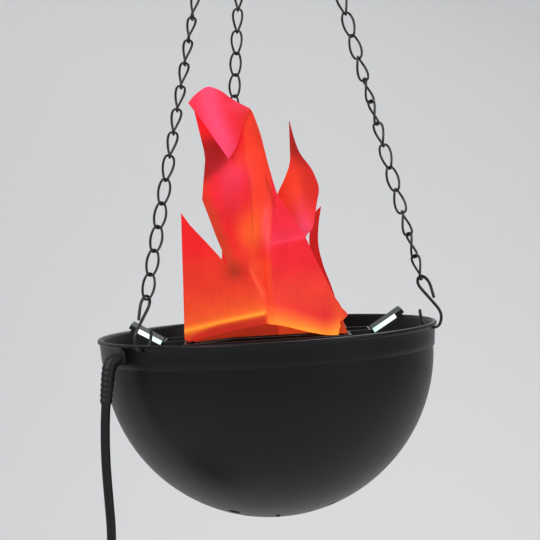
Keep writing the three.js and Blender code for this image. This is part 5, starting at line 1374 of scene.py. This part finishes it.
FLOOR_FRONT = -3.5
FLOOR_HEIGHT = -1.15
BEND_RADIUS = 0.9
BACKDROP = 2.1
BACKDROP_TOP = 3.2
HALF_WIDTH = 4
PALE = 0.78
LIGHTS = [("key", (-1.1, -1.3, 0.7), (0, 0, -0.45), 0.9, 26),
          ("fill", (1.3, -1.0, 0.1), (0, 0, -0.45), 1.0, 12),
          ("rear", (0.5, 1.3, 0.8), (0, 0, -0.4), 0.7, 16)]
SKY_COLOUR = (0.9, 0.93, 1.0)
SKY_STRENGTH = 0.42


def room():
    """A pale floor that curves up into a backdrop: flat, a quarter round, then upright. Seen from outside
    it is clear, so the back and the underside of the object show too."""
    bend = np.radians(np.linspace(0, 90, 24))
    y = np.concatenate([[FLOOR_FRONT], BACKDROP - BEND_RADIUS * (1 - np.sin(bend)), [BACKDROP]])
    z = np.concatenate([[FLOOR_HEIGHT], FLOOR_HEIGHT + BEND_RADIUS * (1 - np.cos(bend)), [BACKDROP_TOP]])
    x, y = np.meshgrid(np.linspace(-HALF_WIDTH, HALF_WIDTH, 9), y)
    points = np.stack([x, y, np.broadcast_to(z[:, None], x.shape)], -1).reshape(-1, 3)
    sweep = build("floor_and_backdrop", points / MM, [cells(*x.shape)], at_lamp=False)
    made, tree, shader = material("pale_paper", (PALE, PALE, 0.77), 0.9)
    tone = noise(tree, object_place(tree), 1.2)
    put(tree, shader.inputs["Base Color"], between_colours(tree, tone, (0.76, 0.76, 0.755), (0.8, 0.8, 0.79)))
    behind = add(tree, "NewGeometry").outputs["Backfacing"]
    clear = add(tree, "BsdfTransparent").outputs[0]
    one_sided = add(tree, "MixShader", {0: behind, 1: shader.outputs[0], 2: clear})
    put(tree, tree.nodes["Material Output"].inputs["Surface"], one_sided.outputs[0])
    sweep.data.materials.append(made)


def area_light(name, place, target, size, power):
    """A round soft light aimed at a point."""
    lamp = bpy.data.lights.new(name, "AREA")
    lamp.shape = "DISK"
    lamp.size = size
    lamp.energy = power
    light = bpy.data.objects.new(name, lamp)
    SCENE.collection.objects.link(light)
    light.location = place
    light.rotation_euler = (Vector(target) - Vector(place)).to_track_quat("-Z", "Y").to_euler()


def lighting():
    """Three soft lights and a plain pale sky."""
    for light in LIGHTS:
        area_light(*light)
    world = bpy.data.worlds.new("studio")
    SCENE.world = world
    world.use_nodes = True
    sky = world.node_tree.nodes["Background"].inputs
    sky["Color"].default_value = (*SKY_COLOUR, 1)
    sky["Strength"].default_value = SKY_STRENGTH
    SCENE.view_settings.view_transform = "Standard"


take_view()
mains_lead()
elbow_relief()
hanging_hook()
hanging_ring()
for where in AZIMUTHS:
    chain(where)
    chain_hook(where)
bowl()
silk_left()
silk_tall()
silk_flap()
silk_front()
silk_side()
silk_far()
silk_rear()
all_screws()
fan_rotor()
lamps()
inner_leads()
finish_nodes()
room()
lighting()
